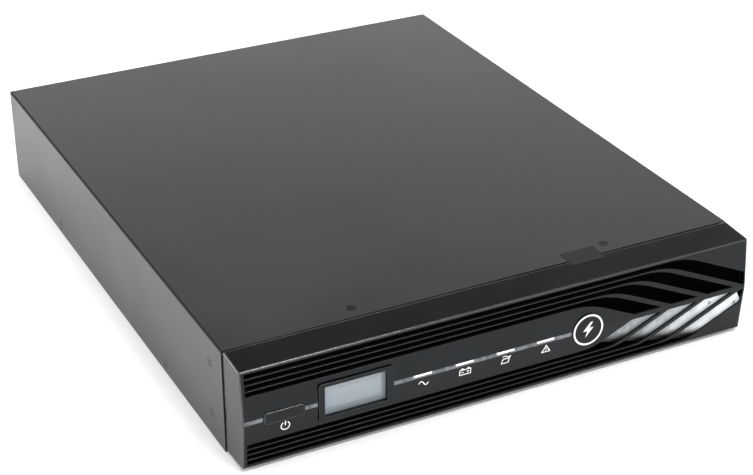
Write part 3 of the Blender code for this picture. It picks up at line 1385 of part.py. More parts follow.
for startup_object in list(bpy.data.objects):
    bpy.data.objects.remove(startup_object, do_unlink=True)
PARTS = new_collection("uninterruptible_power_supply")
CUTTERS = new_collection("cutters")

case_frame = anchor("case_frame", (0, 0, 0))
bezel_frame = anchor("bezel_frame", (0, SEAM_Y, RIDGE_Z))
drawer_frame = anchor("drawer_frame", (from_left(BAY_LEFT + TRAY_WIDTH / 2), SEAM_Y, TRAY_FLOOR))

top_cover = build_cover(case_frame)
chassis_pan = build_pan(case_frame)
front_plate = build_front_plate(case_frame)
build_divider(case_frame)
build_screws(case_frame, top_cover, front_plate, chassis_pan)
build_bay_socket(case_frame)
build_rear_panel(case_frame)
build_boards(case_frame)
build_components(case_frame)

bezel_body = build_bezel(bezel_frame)
build_inlays(bezel_frame, bezel_body)
build_button(bezel_frame)
build_bezel_fittings(bezel_frame)
build_drawer(drawer_frame)
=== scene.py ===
"""The looks of a rack-mount uninterruptible power supply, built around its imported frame.

Every mesh is made where it lies, in the frame's own metres, so an object's texture coordinates are its
place on the supply. Places come from the frame's boxes and from the front's own dimensions below."""

import math

import bmesh
import bpy
from mathutils import Matrix, Vector


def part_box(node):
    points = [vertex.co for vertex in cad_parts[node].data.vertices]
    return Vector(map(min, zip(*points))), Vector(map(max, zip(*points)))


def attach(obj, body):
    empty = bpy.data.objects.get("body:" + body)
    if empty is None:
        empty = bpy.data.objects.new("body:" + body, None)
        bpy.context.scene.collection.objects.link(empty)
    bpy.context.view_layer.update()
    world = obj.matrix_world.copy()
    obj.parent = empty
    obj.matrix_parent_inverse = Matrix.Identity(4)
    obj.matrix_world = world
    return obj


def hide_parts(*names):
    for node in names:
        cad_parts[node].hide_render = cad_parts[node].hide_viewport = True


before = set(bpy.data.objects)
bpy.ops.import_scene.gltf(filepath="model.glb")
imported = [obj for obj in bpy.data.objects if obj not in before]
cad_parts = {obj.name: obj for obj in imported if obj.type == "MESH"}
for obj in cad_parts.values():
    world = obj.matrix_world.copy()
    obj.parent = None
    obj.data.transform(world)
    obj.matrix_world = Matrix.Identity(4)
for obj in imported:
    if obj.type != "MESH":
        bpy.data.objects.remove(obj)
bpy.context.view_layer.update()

# The case and the bezel, from the frame
CASE_LOW, CASE_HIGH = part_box("top_cover")
HALF_WIDTH = CASE_HIGH.x
CASE_HEIGHT = CASE_HIGH.z
REAR_Y = CASE_HIGH.y
SEAM = 0.0012
SEAM_Y = CASE_LOW.y - SEAM
RIDGE_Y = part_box("front_bezel")[0].y
RIDGE_Z = CASE_HEIGHT / 2
GAP = 0.0003

# The bezel's shape
BEZEL_WALL = 0.0022
BEZEL_INSET = 0.0008
BEZEL_EDGE = 0.0012
SLOT_EDGE = 0.00022
FACE_EDGE_Y = RIDGE_Y + 0.0033
FACE_TOP = CASE_HEIGHT - 0.0018
SEAM_RISE = 0.001
BOTTOM_RISE = 0.003
RIDGE_HALF = 0.00215
RIDGE_TOP = RIDGE_Z + RIDGE_HALF
RIDGE_BOTTOM = RIDGE_Z - RIDGE_HALF
TONGUE_LEFT = 0.2888
TONGUE_WIDTH = 0.0296
TONGUE_REACH = 0.0132
TONGUE_THICKNESS = 0.0012
PRY_NOTCH_Z = 0.0346
PRY_NOTCH_SIZE = (0.002, 0.0055)
BUTTON_LIP = 0.0012
ACCENT_STRIPS = ("accent_strip_left", "accent_strip_middle", "accent_strip_right")
FILTER_HANG = 0.0031
OVERRUN = 0.004
MERGE = 0.000001
CORNER_STEPS = 6

# The vent slots
SLOTS = 4
SLOT_START = 0.0043
SLOT_PITCH = 0.0048
SLOT_HEIGHT = 0.0038
TOP_SLOT_DROP = 0.0041
BOTTOM_SLOT_RISE = 0.006
SLOT_END_MARGIN = 0.0025
CHEVRON_PITCH = 0.0345
UPPER_CHEVRON = {"start": 0.107, "width": 0.0255, "slope": -0.449, "fillet": 0.070}
LOWER_CHEVRON = {"start": 0.109, "width": 0.028, "slope": 0.485, "fillet": 0.040}
FILLET_STEPS = 14

# The camera, in the frame
CAMERA_PLACE = (-0.6065, -1.2540, 0.757)
CAMERA_YAW = 26.594
CAMERA_PITCH = 28.152
CAMERA_ROLL = -0.19
CAMERA_LENS = 85.72
CAMERA_SHIFT = (0.0069, -0.0037)


def from_left(distance):
    return distance - HALF_WIDTH


def from_right(distance):
    return HALF_WIDTH - distance


def face_y(height):
    """How far forward the bezel's face is at a height: two flats that lean back from the ridge."""
    if height > RIDGE_TOP:
        return RIDGE_Y + (FACE_EDGE_Y - RIDGE_Y) * (height - RIDGE_TOP) / (FACE_TOP - RIDGE_TOP)
    if height < RIDGE_BOTTOM:
        share = (RIDGE_BOTTOM - height) / (RIDGE_BOTTOM - BOTTOM_RISE)
        return RIDGE_Y + (FACE_EDGE_Y - RIDGE_Y) * share
    return RIDGE_Y


# Mesh tools


def mesh_object(name, mesh):
    obj = bpy.data.objects.new(name, mesh)
    bpy.context.scene.collection.objects.link(obj)
    return obj


def from_bmesh(name, work):
    bmesh.ops.recalc_face_normals(work, faces=work.faces)
    mesh = bpy.data.meshes.new(name)
    work.to_mesh(mesh)
    work.free()
    return mesh_object(name, mesh)


def boxes(name, corners):
    """One mesh of boxes, each given by its lowest and highest corner."""
    work = bmesh.new()
    for low, high in corners:
        low, high = Vector(low), Vector(high)
        matrix = Matrix.Translation((low + high) / 2) @ Matrix.Diagonal((*(high - low), 1))
        bmesh.ops.create_cube(work, size=1, matrix=matrix)
    return from_bmesh(name, work)


def box(name, low, high):
    return boxes(name, [(low, high)])


LAY_ALONG = {
    "X": Matrix(((0, 0, 1), (1, 0, 0), (0, 1, 0))).to_4x4(),
    "Y": Matrix(((1, 0, 0), (0, 0, -1), (0, 1, 0))).to_4x4(),
    "Z": Matrix.Identity(4),
}


def from_curve(curve, paths, closed):
    """The mesh of a curve drawn through paths of points."""
    for path in paths:
        spline = curve.splines.new("POLY")
        spline.points.add(len(path) - 1)
        for point, place in zip(spline.points, path):
            point.co = (*place, 1)
        spline.use_cyclic_u = closed
    drawn = mesh_object(curve.name + "_drawn", curve)
    mesh = settled(drawn)
    bpy.data.objects.remove(drawn, do_unlink=True)
    bpy.data.curves.remove(curve)
    return mesh


def opened(mesh):
    """A mesh opened for editing, with its doubled points merged."""
    work = bmesh.new()
    work.from_mesh(mesh)
    bpy.data.meshes.remove(mesh)
    bmesh.ops.remove_doubles(work, verts=work.verts, dist=MERGE)
    return work


def prism(name, outlines, low, high, along):
    """Flat outlines filled and extruded along an axis. Points are (y, z) along X, (x, z) along Y and
    (x, y) along Z, and an outline inside another is a hole."""
    curve = bpy.data.curves.new(name, "CURVE")
    curve.dimensions = "2D"
    curve.fill_mode = "BOTH"
    curve.extrude = (high - low) / 2
    mesh = from_curve(curve, [[(across, up, 0) for across, up in outline] for outline in outlines], True)
    mesh.transform(LAY_ALONG[along])
    middle = Vector((0, 0, 0))
    middle["XYZ".index(along)] = (low + high) / 2
    mesh.transform(Matrix.Translation(middle))
    work = opened(mesh)
    bmesh.ops.dissolve_limit(work, angle_limit=0.001, verts=work.verts, edges=work.edges)
    return from_bmesh(name, work)


TURN_TO = {
    "+X": Matrix.Rotation(math.pi / 2, 4, "Y"),
    "-X": Matrix.Rotation(-math.pi / 2, 4, "Y"),
    "+Y": Matrix.Rotation(-math.pi / 2, 4, "X"),
    "-Y": Matrix.Rotation(math.pi / 2, 4, "X"),
    "+Z": Matrix.Identity(4),
}


def turned(name, profile, centre, towards, steps=48):
    """A closed profile of (radius, height) points, spun about the height axis."""
    work = bmesh.new()
    angles = [math.tau * i / steps for i in range(steps)]
    rings = []
    for radius, height in profile:
        spots = [(radius * math.cos(a), radius * math.sin(a), height) for a in angles]
        rings.append([work.verts.new(spot) for spot in (spots if radius else spots[:1])])
    pairs = list(zip(rings, rings[1:]))
    if len(rings[0]) > 1:
        pairs.append((rings[-1], rings[0]))
    for first, second in pairs:
        for i in range(steps):
            j = (i + 1) % steps
            corners = [first[i % len(first)], first[j % len(first)],
                       second[j % len(second)], second[i % len(second)]]
            work.faces.new(list(dict.fromkeys(corners)))
    work.transform(Matrix.Translation(centre) @ TURN_TO[towards])
    return from_bmesh(name, work)


def rod(name, radius, length, centre, towards, steps):
    return turned(name, [(0, length), (radius, length), (radius, 0), (0, 0)], centre, towards, steps)


def wire(name, points, radius, closed=False, sides=3):
    """A round wire through points, as a mesh."""
    curve = bpy.data.curves.new(name, "CURVE")
    curve.dimensions = "3D"
    curve.bevel_depth = radius
    curve.bevel_resolution = sides
    curve.use_fill_caps = not closed
    return from_bmesh(name, opened(from_curve(curve, [points], closed)))


def settled(obj):
    """The mesh that an object's modifiers or curve come to."""
    graph = bpy.context.evaluated_depsgraph_get()
    return bpy.data.meshes.new_from_object(obj.evaluated_get(graph))


def settle(obj):
    """Makes the evaluated mesh the object's own."""
    mesh, old = settled(obj), obj.data
    obj.modifiers.clear()
    obj.data = mesh
    bpy.data.meshes.remove(old)
    return obj


def combine(target, others, operation):
    for other in others:
        step = target.modifiers.new(other.name, "BOOLEAN")
        step.operation = operation
        step.object = other
    settle(target)
    for other in others:
        bpy.data.objects.remove(other, do_unlink=True)
    return target


def carve(target, *cutters):
    return combine(target, cutters, "DIFFERENCE")


def fuse(target, *additions):
    return combine(target, additions, "UNION")


def smooth(obj, angle=35):
    """Smooth shading between soft edges, weighted so that the large faces stay flat."""
    obj.data.shade_smooth()
    obj.data.set_sharp_from_angle(angle=math.radians(angle))
    weighted = obj.modifiers.new("normals", "WEIGHTED_NORMAL")
    weighted.keep_sharp = True
    weighted.weight = 80
    return settle(obj)


def round_edges(obj, width, segments, angle=30):
    """Adds a bevel of the sharp edges, after a weld of doubled points."""
    obj.modifiers.new("weld", "WELD").merge_threshold = 2 * MERGE
    bevel = obj.modifiers.new("edges", "BEVEL")
    bevel.width = width
    bevel.segments = segments
    bevel.limit_method = "ANGLE"
    bevel.angle_limit = math.radians(angle)
    return bevel


def soften(obj, width, segments=2, angle=30, finishes=()):
    """Rounds the edges a little, so that they catch the light. A second finish, where given, goes on the
    edges: a lighter, glossier copy that paints a highlight there.
    """
    for finish in finishes[len(obj.data.materials):]:
        obj.data.materials.append(finish)
    round_edges(obj, width, segments, angle).material = len(finishes) - 1
    settle(obj)
    return smooth(obj)


def gather(name, parts):
    """Several meshes as one object, left as separate shells."""
    work = bmesh.new()
    for part in parts:
        work.from_mesh(part.data)
        bpy.data.objects.remove(part, do_unlink=True)
    mesh = bpy.data.meshes.new(name)
    work.to_mesh(mesh)
    work.free()
    return mesh_object(name, mesh)


def polar(centre, radius, degrees):
    """The point at an angle round a centre."""
    angle = math.radians(degrees)
    return centre[0] + radius * math.cos(angle), centre[1] + radius * math.sin(angle)


def arc(centre, radius, start, end, steps):
    """Points on an arc from one angle to another, in degrees."""
    return [polar(centre, radius, start + (end - start) * i / steps) for i in range(steps + 1)]


def circle(centre, radius, steps):
    return arc(centre, radius, 0, 360 * (steps - 1) / steps, steps - 1)


def rectangle(left, bottom, right, top):
    return [(left, bottom), (right, bottom), (right, top), (left, top)]


def rounded_rectangle(left, bottom, width, height, radius):
    right, top = left + width - radius, bottom + height - radius
    left, bottom = left + radius, bottom + radius
    centres = rectangle(left, bottom, right, top)
    points = []
    for quarter, centre in enumerate(centres[1:] + centres[:1]):
        points += arc(centre, radius, 90 * quarter - 90, 90 * quarter, CORNER_STEPS)
    return points


def rounded_box(low, high, radius, grow=0.0):
    """The round-cornered outline of a box seen from the front, grown on every side."""
    return rounded_rectangle(low.x - grow, low.z - grow, high.x - low.x + 2 * grow,
                             high.z - low.z + 2 * grow, radius)


def box_and_middle(node):
    """A node's lowest and highest corner, and its middle across and up."""
    low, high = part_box(node)
    return low, high, (low.x + high.x) / 2, (low.z + high.z) / 2


def block(x, z, aside, up, front, back):
    """The two corners of a block whose middle, seen from the front, is at x and z."""
    return (x - aside, front, z - up), (x + aside, back, z + up)


def ribbon(points, width):
    """The outline of a stroke of even width along a path of (x, z) points."""
    path = [Vector(point) for point in points]
    left, right = [], []
    for i, here in enumerate(path):
        before, after = path[max(i - 1, 0)], path[min(i + 1, len(path) - 1)]
        along = (after - before).normalized()
        across = Vector((-along.y, along.x)) * width / 2
        left.append(tuple(here + across))
        right.append(tuple(here - across))
    return left + right[::-1]


def piece(obj, body, finish, replaces=()):
    """Coats a finished mesh and lets it ride on a body."""
    if not obj.data.materials:
        obj.data.materials.append(finish)
    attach(obj, body)
    if replaces:
        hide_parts(*replaces)
    return obj


def keep(node, finish, edge=0.0, segments=2):
    """Keeps a frame node's shape, with a finish and lightly rounded edges."""
    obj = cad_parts[node]
    obj.data.materials.clear()
    obj.data.materials.append(finish)
    if edge:
        round_edges(obj, edge, segments).harden_normals = True
    return obj


# Materials


class Sheet:
    """A material's node tree, with short calls that add and join its nodes."""

    def __init__(self, name, roughness, metallic=0.0, **sockets):
        self.material = bpy.data.materials.new(name)
        self.material.use_nodes = True
        self.tree = self.material.node_tree
        self.shader = self.tree.nodes["Principled BSDF"]
        self.fill(self.shader, Roughness=roughness, Metallic=metallic, **sockets)
        self.place = self.node("ShaderNodeTexCoord").outputs["Object"]

    def node(self, kind, **settings):
        node = self.tree.nodes.new(kind)
        for key, value in settings.items():
            setattr(node, key, value)
        return node

    def fill(self, node, **sockets):
        for socket, value in sockets.items():
            node.inputs[socket.replace("_", " ")].default_value = value

    def join(self, source, target):
        self.tree.links.new(source, target)

    def feed(self, socket, value):
        """Gives a socket a number, a colour or what another node makes."""
        if isinstance(value, (int, float)):
            socket.default_value = value
        elif isinstance(value, tuple):
            socket.default_value = (*value, 1.0)
        else:
            self.join(value, socket)

    def axes(self):
        split = self.node("ShaderNodeSeparateXYZ")
        self.join(self.place, split.inputs["Vector"])
        return split.outputs

    def stretched(self, scale):
        mapping = self.node("ShaderNodeMapping")
        self.fill(mapping, Scale=scale)
        self.join(self.place, mapping.inputs["Vector"])
        return mapping.outputs["Vector"]

    def pattern(self, kind, place, **sockets):
        """What a texture gives at a place."""
        texture = self.node("ShaderNodeTex" + kind)
        self.fill(texture, **sockets)
        self.join(place, texture.inputs["Vector"])
        return texture.outputs

    def noise(self, scale, detail=3.0, stretch=(1, 1, 1), roughness=0.5):
        return self.pattern("Noise", self.stretched(stretch), Scale=scale, Detail=detail,
                            Roughness=roughness)["Fac"]

    def spread(self, source, low, high, start=0.3, end=0.7):
        """Turns a 0 to 1 pattern into a value between two ends."""
        remap = self.node("ShaderNodeMapRange", interpolation_type="SMOOTHSTEP")
        self.fill(remap, From_Min=start, From_Max=end, To_Min=low, To_Max=high)
        self.join(source, remap.inputs["Value"])
        return remap.outputs["Result"]

    def maths(self, operation, first, second):
        node = self.node("ShaderNodeMath", operation=operation)
        for socket, value in zip(node.inputs, (first, second)):
            self.feed(socket, value)
        return node.outputs["Value"]

    def plus(self, first, second):
        return self.maths("ADD", first, second)

    def times(self, first, second):
        return self.maths("MULTIPLY", first, second)

    def blend(self, share, first, second):
        """A colour between two colours, or between what two nodes give."""
        node = self.node("ShaderNodeMix", data_type="RGBA")
        for socket, value in (("Factor", share), ("A", first), ("B", second)):
            self.feed(node.inputs[socket], value)
        return node.outputs["Result"]

    def toned(self, pattern, first, second):
        """A colour that goes from one tone to another with a pattern."""
        return self.blend(self.spread(pattern, 0, 1), first, second)

    def mottle(self, patch, grain):
        """Slow patches, a fine grain, and the two mixed."""
        slow, fine = self.noise(patch, detail=4), self.noise(grain, detail=2)
        return slow, fine, self.plus(self.times(slow, 0.6), self.times(fine, 0.4))

    def colour(self, source):
        self.join(source, self.shader.inputs["Base Color"])

    def rough(self, source):
        self.join(source, self.shader.inputs["Roughness"])

    def bump(self, source, distance):
        bump = self.node("ShaderNodeBump")
        self.fill(bump, Strength=1.0, Distance=distance)
        self.join(source, bump.inputs["Height"])
        self.join(bump.outputs["Normal"], self.shader.inputs["Normal"])


def grained(name, colour, roughness, metallic=0.0, grain=900, depth=0.00002, shade=0.25,
            patch=14, uneven=0.05, **sockets):
    """A moulded, painted or cast surface: a fine grain, and slow changes of tone and of gloss."""
    sheet = Sheet(name, roughness, metallic, **sockets)
    slow, fine, mixed = sheet.mottle(patch, grain)
    darker = tuple(channel * (1 - shade) for channel in colour)
    lighter = tuple(min(1, channel * (1 + shade)) for channel in colour)
    sheet.colour(sheet.toned(mixed, darker, lighter))
    sheet.rough(sheet.spread(slow, roughness - uneven, roughness + uneven))
    sheet.bump(fine, depth)
    return sheet.material


def brushed(name, colour, roughness, along="X", depth=0.00001, metallic=1.0):
    """Metal with fine lines along one axis."""
    sheet = Sheet(name, roughness, metallic)
    stretch = [1.0, 1.0, 1.0]
    stretch["XYZ".index(along)] = 0.02
    lines = sheet.noise(1800, detail=3, stretch=stretch)
    patches = sheet.noise(25, detail=4)
    darker = tuple(channel * 0.72 for channel in colour)
    sheet.colour(sheet.toned(lines, darker, colour))
    sheet.rough(sheet.spread(patches, roughness - 0.06, roughness + 0.10))
    sheet.bump(lines, depth)
    return sheet.material


def zinc():
    """Zinc-plated sheet steel: pale, with the faint clouds of its plating."""
    sheet = Sheet("zinc_plate", 0.34, 1.0)
    clouds = sheet.noise(45, detail=5, roughness=0.65)
    fine = sheet.noise(1200, detail=2)
    sheet.colour(sheet.toned(clouds, (0.46, 0.465, 0.47), (0.56, 0.56, 0.555)))
    sheet.rough(sheet.spread(clouds, 0.30, 0.42))
    sheet.bump(fine, 0.000008)
    return sheet.material


def silver_foil():
    """The bright speckled sheet behind the lower chevrons, with painted light and shade: it fades to black
    towards its lower left, grows lighter towards its right tips and glows a little.
    """
    sheet = Sheet("speckled_silver", 0.34, 0.2)
    across, _, up = sheet.axes()
    # Painted shade: the sheet fades to black towards its lower left, along a slanted line, where the ribs
    # shade it.
    fade_slope = 0.2055
    fade_start = from_left(0.308) * fade_slope + 0.026
    height = sheet.plus(up, sheet.times(across, fade_slope))
    lit = sheet.spread(height, 0.0, 1.0, start=fade_start - 0.001, end=fade_start + 0.0075)
    speckle = sheet.noise(2200, detail=3, roughness=0.7)
    cloud = sheet.noise(150, detail=4)
    spots = sheet.pattern("Voronoi", sheet.stretched((1, 0, 1)), Scale=95)["Distance"]
    dots = sheet.spread(spots, 0.35, 1.0, start=0.08, end=0.20)
    tone = sheet.plus(sheet.spread(speckle, -0.09, 0.13), sheet.spread(cloud, -0.06, 0.08))
    # Painted light: lighter towards the sheet's right tips.
    painted_light_rightwards = sheet.spread(across, 0.18, 0.62, start=from_left(0.32), end=from_left(0.436))
    value = sheet.times(sheet.times(sheet.plus(painted_light_rightwards, tone), dots), lit)
    silver = sheet.node("ShaderNodeCombineColor")
    for channel, tint in (("Red", 0.93), ("Green", 0.97), ("Blue", 1.0)):
        sheet.join(sheet.times(value, tint), silver.inputs[channel])
    sheet.colour(silver.outputs["Color"])
    # Painted light: the sheet glows a little with its own colour, though it is no lamp.
    sheet.join(silver.outputs["Color"], sheet.shader.inputs["Emission Color"])
    sheet.fill(sheet.shader, Emission_Strength=0.32)
    sheet.rough(sheet.spread(speckle, 0.30, 0.46))
    sheet.bump(speckle, 0.00003)
    return sheet.material


def foam():
    """Open-cell filter foam: black, and darker than the foam itself is, as painted shade deep in the vent
    slots.
    """
    sheet = Sheet("filter_foam_black", 0.95, Specular_IOR_Level=0.02)
    cells = sheet.pattern("Voronoi", sheet.place, Scale=900)["Distance"]
    # Painted shade: near-zero black, darker than the foam's own colour, so that the vent slots read as deep
    # shade.
    sheet.colour(sheet.toned(cells, (0.0002,) * 3, (0.0014,) * 3))
    sheet.bump(cells, 0.0004)
    return sheet.material


def laminate():
    """Green solder mask over copper tracks and a scatter of tinned pads."""
    sheet = Sheet("board_laminate", 0.38, Coat_Weight=0.3)
    tracks = sheet.pattern("Brick", sheet.place, Scale=130, Mortar_Size=0.06, Color1=(0.008, 0.075, 0.028, 1),
                           Color2=(0.010, 0.090, 0.034, 1), Mortar=(0.020, 0.170, 0.065, 1))
    pads = sheet.pattern("Voronoi", sheet.place, Scale=190)["Distance"]
    tinned = sheet.spread(pads, 1, 0, start=0.12, end=0.16)
    sheet.colour(sheet.blend(tinned, tracks["Color"], (0.55, 0.54, 0.50)))
    sheet.bump(tracks["Fac"], 0.00003)
    return sheet.material


def display_film():
    """The blank display: pale grey-blue with faint cells, and painted shade: darker towards the bottom,
    darker strips at its right and foot for a recess's shaded walls, and a dark crease line along the strips'
    edge.
    """
    sheet = Sheet("display_film", 0.32)
    across, _, up = sheet.axes()
    low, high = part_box("lcd_window")
    # Painted shade: darker towards the bottom.
    shade = sheet.spread(up, 0, 1, start=low.z, end=high.z)
    base = sheet.blend(shade, (0.190, 0.226, 0.256), (0.250, 0.286, 0.316))
    cells = sheet.pattern("Checker", sheet.place, Scale=1900)["Fac"]
    base = sheet.blend(sheet.times(cells, 0.06), base, (0.12, 0.14, 0.17))
    # Painted shade: darker strips at the right and foot stand in for the shaded walls of a recess, with a
    # dark crease line along their edge.
    right = sheet.spread(across, 0, 1, start=high.x - 0.0031, end=high.x - 0.0028)
    foot = sheet.spread(up, 1, 0, start=low.z + 0.0040, end=low.z + 0.0043)
    edge = sheet.maths("MAXIMUM", right, foot)
    line = sheet.times(sheet.times(edge, sheet.maths("SUBTRACT", 1.0, edge)), 4.0)
    base = sheet.blend(sheet.times(edge, 0.5), base, (0.09, 0.105, 0.12))
    sheet.colour(sheet.blend(sheet.times(line, 0.8), base, (0.02, 0.025, 0.03)))
    return sheet.material


def window():
    """Clear polycarbonate: mostly see-through, with a little gloss."""
    sheet = Sheet("clear_polycarbonate", 0.06, IOR=1.5, Alpha=0.04)
    haze = sheet.noise(300, detail=3)
    sheet.colour(sheet.toned(haze, (0.72, 0.78, 0.84), (0.80, 0.85, 0.90)))
    sheet.rough(sheet.spread(haze, 0.04, 0.09))
    return sheet.material


def copper():
    """Enamelled windings, seen as fine ridges round the coil."""
    sheet = Sheet("enamelled_copper", 0.30, 0.85, Coat_Weight=0.6)
    tone = sheet.noise(500, detail=3)
    sheet.colour(sheet.toned(tone, (0.36, 0.12, 0.045), (0.62, 0.25, 0.10)))
    sheet.bump(tone, 0.00002)
    return sheet.material


PAINT = grained("powder_coat", (0.0085, 0.0085, 0.0090), 0.31, grain=1500, depth=0.000016, shade=0.2,
                patch=9, uneven=0.03, Specular_IOR_Level=0.38)
SLATE = grained("bezel_slate", (0.0030, 0.0039, 0.0049), 0.22, grain=2200, depth=0.000004, shade=0.15,
                patch=20, uneven=0.025, Specular_IOR_Level=0.24, Specular_Tint=(0.90, 0.96, 1.0, 1))
# Painted highlight: a lighter, glossier copy of the bezel's slate, put on the rounded edges so that they
# shine.
SLATE_HIGHLIGHT = grained("bezel_edge_highlight", (0.0060, 0.0068, 0.0078), 0.26, grain=2200, depth=0.000004, shade=0.15,
                     Specular_IOR_Level=1.0)
SLATE_AND_HIGHLIGHT = (SLATE, SLATE_HIGHLIGHT)
MATT = grained("matt_black", (0.013, 0.013, 0.014), 0.5, grain=1300, depth=0.00003)
DARK = grained("badge_dark", (0.0045, 0.0038, 0.0026), 0.40, grain=1800, depth=0.000006, shade=0.15,
               Specular_IOR_Level=0.22)
WHITE_INK = grained("white_ink", (0.80, 0.80, 0.79), 0.5, grain=2500, depth=0.000004, shade=0.04)
LAMP = grained("lamp_white", (0.88, 0.89, 0.90), 0.35, grain=2500, depth=0.000002, shade=0.03,
               Emission_Color=(1, 1, 1, 1), Emission_Strength=0.22)
STRIP = grained("strip_silver", (0.13, 0.138, 0.15), 0.36, 0.4, grain=1500, depth=0.00004, shade=0.62,
                patch=300)
OXIDE = grained("black_oxide", (0.010, 0.010, 0.0105), 0.20, 0.3, grain=1600, depth=0.000006, shade=0.3)
ZINC = zinc()
SILVER = silver_foil()
FOAM = foam()
LAMINATE = laminate()
DISPLAY = display_film()
WINDOW = window()
COPPER = copper()
ALUMINIUM = brushed("fin_metal", (0.66, 0.66, 0.67), 0.34, "Y")
NICKEL = brushed("port_nickel", (0.64, 0.63, 0.60), 0.26, "Y")
BATTERY = grained("battery_shell", (0.040, 0.041, 0.045), 0.52, grain=700, depth=0.00005, shade=0.2)
SLEEVE = grained("shrink_sleeve", (0.012, 0.018, 0.035), 0.28, grain=300, depth=0.00001, shade=0.15)
GREEN = grained("terminal_plastic", (0.018, 0.17, 0.055), 0.42, grain=900, depth=0.00002, shade=0.15)
GREY = grained("connector_plastic", (0.13, 0.13, 0.14), 0.5, grain=900, depth=0.00003, shade=0.12)
CREAM = grained("reset_plastic", (0.70, 0.69, 0.64), 0.4, grain=1200, depth=0.00001, shade=0.08)


# Bezel


def bezel_section(inwards, back):
    """The bezel's side view as (y, z) points, moved inwards by a wall."""
    return [
        (back, CASE_HEIGHT - inwards),
        (FACE_EDGE_Y + inwards, FACE_TOP - inwards),
        (RIDGE_Y + inwards, RIDGE_TOP),
        (RIDGE_Y + inwards, RIDGE_BOTTOM),
        (FACE_EDGE_Y + inwards, BOTTOM_RISE + inwards),
        (back, SEAM_RISE + inwards),
    ]


def bent_edge(level, meet_x, meet_z, slope, radius, last_x):
    """A slot's edge: level from the slot's start, then bent on a fillet towards the ridge."""
    corner_x = meet_x - (meet_z - level) / slope
    turn = math.atan(slope)
    tangent = radius * math.tan(abs(turn) / 2)
    centre = (corner_x - tangent, level + math.copysign(radius, slope))
    begin = -90 if slope > 0 else 90
    points = [(from_left(SLOT_START), level)]
    points += arc(centre, radius, begin, begin + math.degrees(turn), FILLET_STEPS)
    if meet_x <= last_x:
        return points + [(meet_x, meet_z)]
    return points + [(last_x, meet_z - slope * (meet_x - last_x))]


def slot_outline(number, upper):
    """One vent slot, counted from the ridge outwards in the upper rows and the lower rows."""
    last_x = from_right(SLOT_END_MARGIN)
    step = (SLOTS - 1 - number) * SLOT_PITCH
    if upper:
        shape, far, meet_z = UPPER_CHEVRON, CASE_HEIGHT - TOP_SLOT_DROP - step, RIDGE_TOP
        near = far - SLOT_HEIGHT
    else:
        shape, far, meet_z = LOWER_CHEVRON, BOTTOM_SLOT_RISE + step, RIDGE_BOTTOM
        near = far + SLOT_HEIGHT
    meet_x = from_right(shape["start"]) + number * CHEVRON_PITCH
    last_meet = meet_x + shape["width"]
    bend = (shape["slope"], shape["fillet"], last_x)
    corner = [(last_x, meet_z)] if last_meet > last_x > meet_x else []
    return (bent_edge(near, meet_x, meet_z, *bend) + corner
            + bent_edge(far, last_meet, meet_z, *bend)[::-1])


def build_bezel():
    """The moulded front, with finely curved slots and softened edges."""
    reach = HALF_WIDTH - BEZEL_INSET
    body = prism("bezel_shell", [bezel_section(0, SEAM_Y)], -reach, reach, "X")
    soften(body, BEZEL_EDGE, 4, finishes=SLATE_AND_HIGHLIGHT)
    carve(body, prism("hollow", [bezel_section(BEZEL_WALL, SEAM_Y + OVERRUN)],
                      BEZEL_WALL - reach, reach - BEZEL_WALL, "X"))
    ahead, inside = RIDGE_Y - OVERRUN, FACE_EDGE_Y + 1.4 * BEZEL_WALL
    carve(body, *[prism(f"slot_{number}_{upper}", [slot_outline(number, upper)], ahead, inside, "Y")
                  for number in range(SLOTS) for upper in (True, False)])
    cutters = []
    for node, radius, grow in (("lcd_frame", 0.0025, GAP), ("power_button", 0.0023, GAP - BUTTON_LIP)):
        outline = rounded_box(*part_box(node), radius, grow)
        cutters.append(prism(node + "_hole", [outline], ahead, inside, "Y"))
    for node in ACCENT_STRIPS:
        low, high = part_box(node)
        cutters.append(box("groove_" + node, (low.x - GAP, ahead, low.z - GAP),
                           (high.x + GAP, high.y + GAP, high.z + GAP)))
    low, high, x, _ = box_and_middle("badge")
    cutters.append(rod("badge_pocket", (high.x - low.x) / 2 + GAP, OVERRUN * 2,
                       (x, high.y + GAP, RIDGE_Z), "-Y", 64))
    bottom, top = light_heights()
    for left, right in light_spans():
        cutters.append(box("light_hole", (left - GAP, ahead, bottom - GAP), (right + GAP, inside, top + GAP)))
    depth, half = PRY_NOTCH_SIZE[0], PRY_NOTCH_SIZE[1] / 2
    for sign in (-1, 1):
        inner, outer = sorted((sign * (reach - BEZEL_WALL - GAP), sign * HALF_WIDTH))
        cutters.append(box("pry_notch", (inner, SEAM_Y - depth, PRY_NOTCH_Z - half),
                           (outer, SEAM_Y + OVERRUN, PRY_NOTCH_Z + half)))
    carve(body, *cutters)
    tongue = box("tongue", (from_left(TONGUE_LEFT), SEAM_Y - 0.006, CASE_HEIGHT - TONGUE_THICKNESS),
                 (from_left(TONGUE_LEFT + TONGUE_WIDTH), SEAM_Y + TONGUE_REACH, CASE_HEIGHT))
    fuse(body, tongue, *bezel_clips(reach))
    soften(body, SLOT_EDGE, 2, 32, SLATE_AND_HIGHLIGHT)
    piece(body, "bezel", SLATE, ["front_bezel"])


def bezel_clips(reach):
    """Four hooks behind the bezel's ends, which spring into the front plate."""
    width, length, height, barb = 0.002, 0.006, 0.010, 0.0012
    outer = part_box("front_plate")[1].x - barb - GAP
    root = reach - BEZEL_WALL / 2
    plan = [(outer - width, SEAM_Y - 2 * length), (outer - width, SEAM_Y + length),
            (outer, SEAM_Y + length - barb), (outer, SEAM_Y - 0.001),
            (root, SEAM_Y - 0.001), (root, SEAM_Y - 2 * length)]
    return [prism("clip", [[(sign * x, y) for x, y in plan]], z - height / 2, z + height / 2, "Z")
            for sign in (-1, 1) for z in (RIDGE_Z - 0.020, RIDGE_Z + 0.020)]


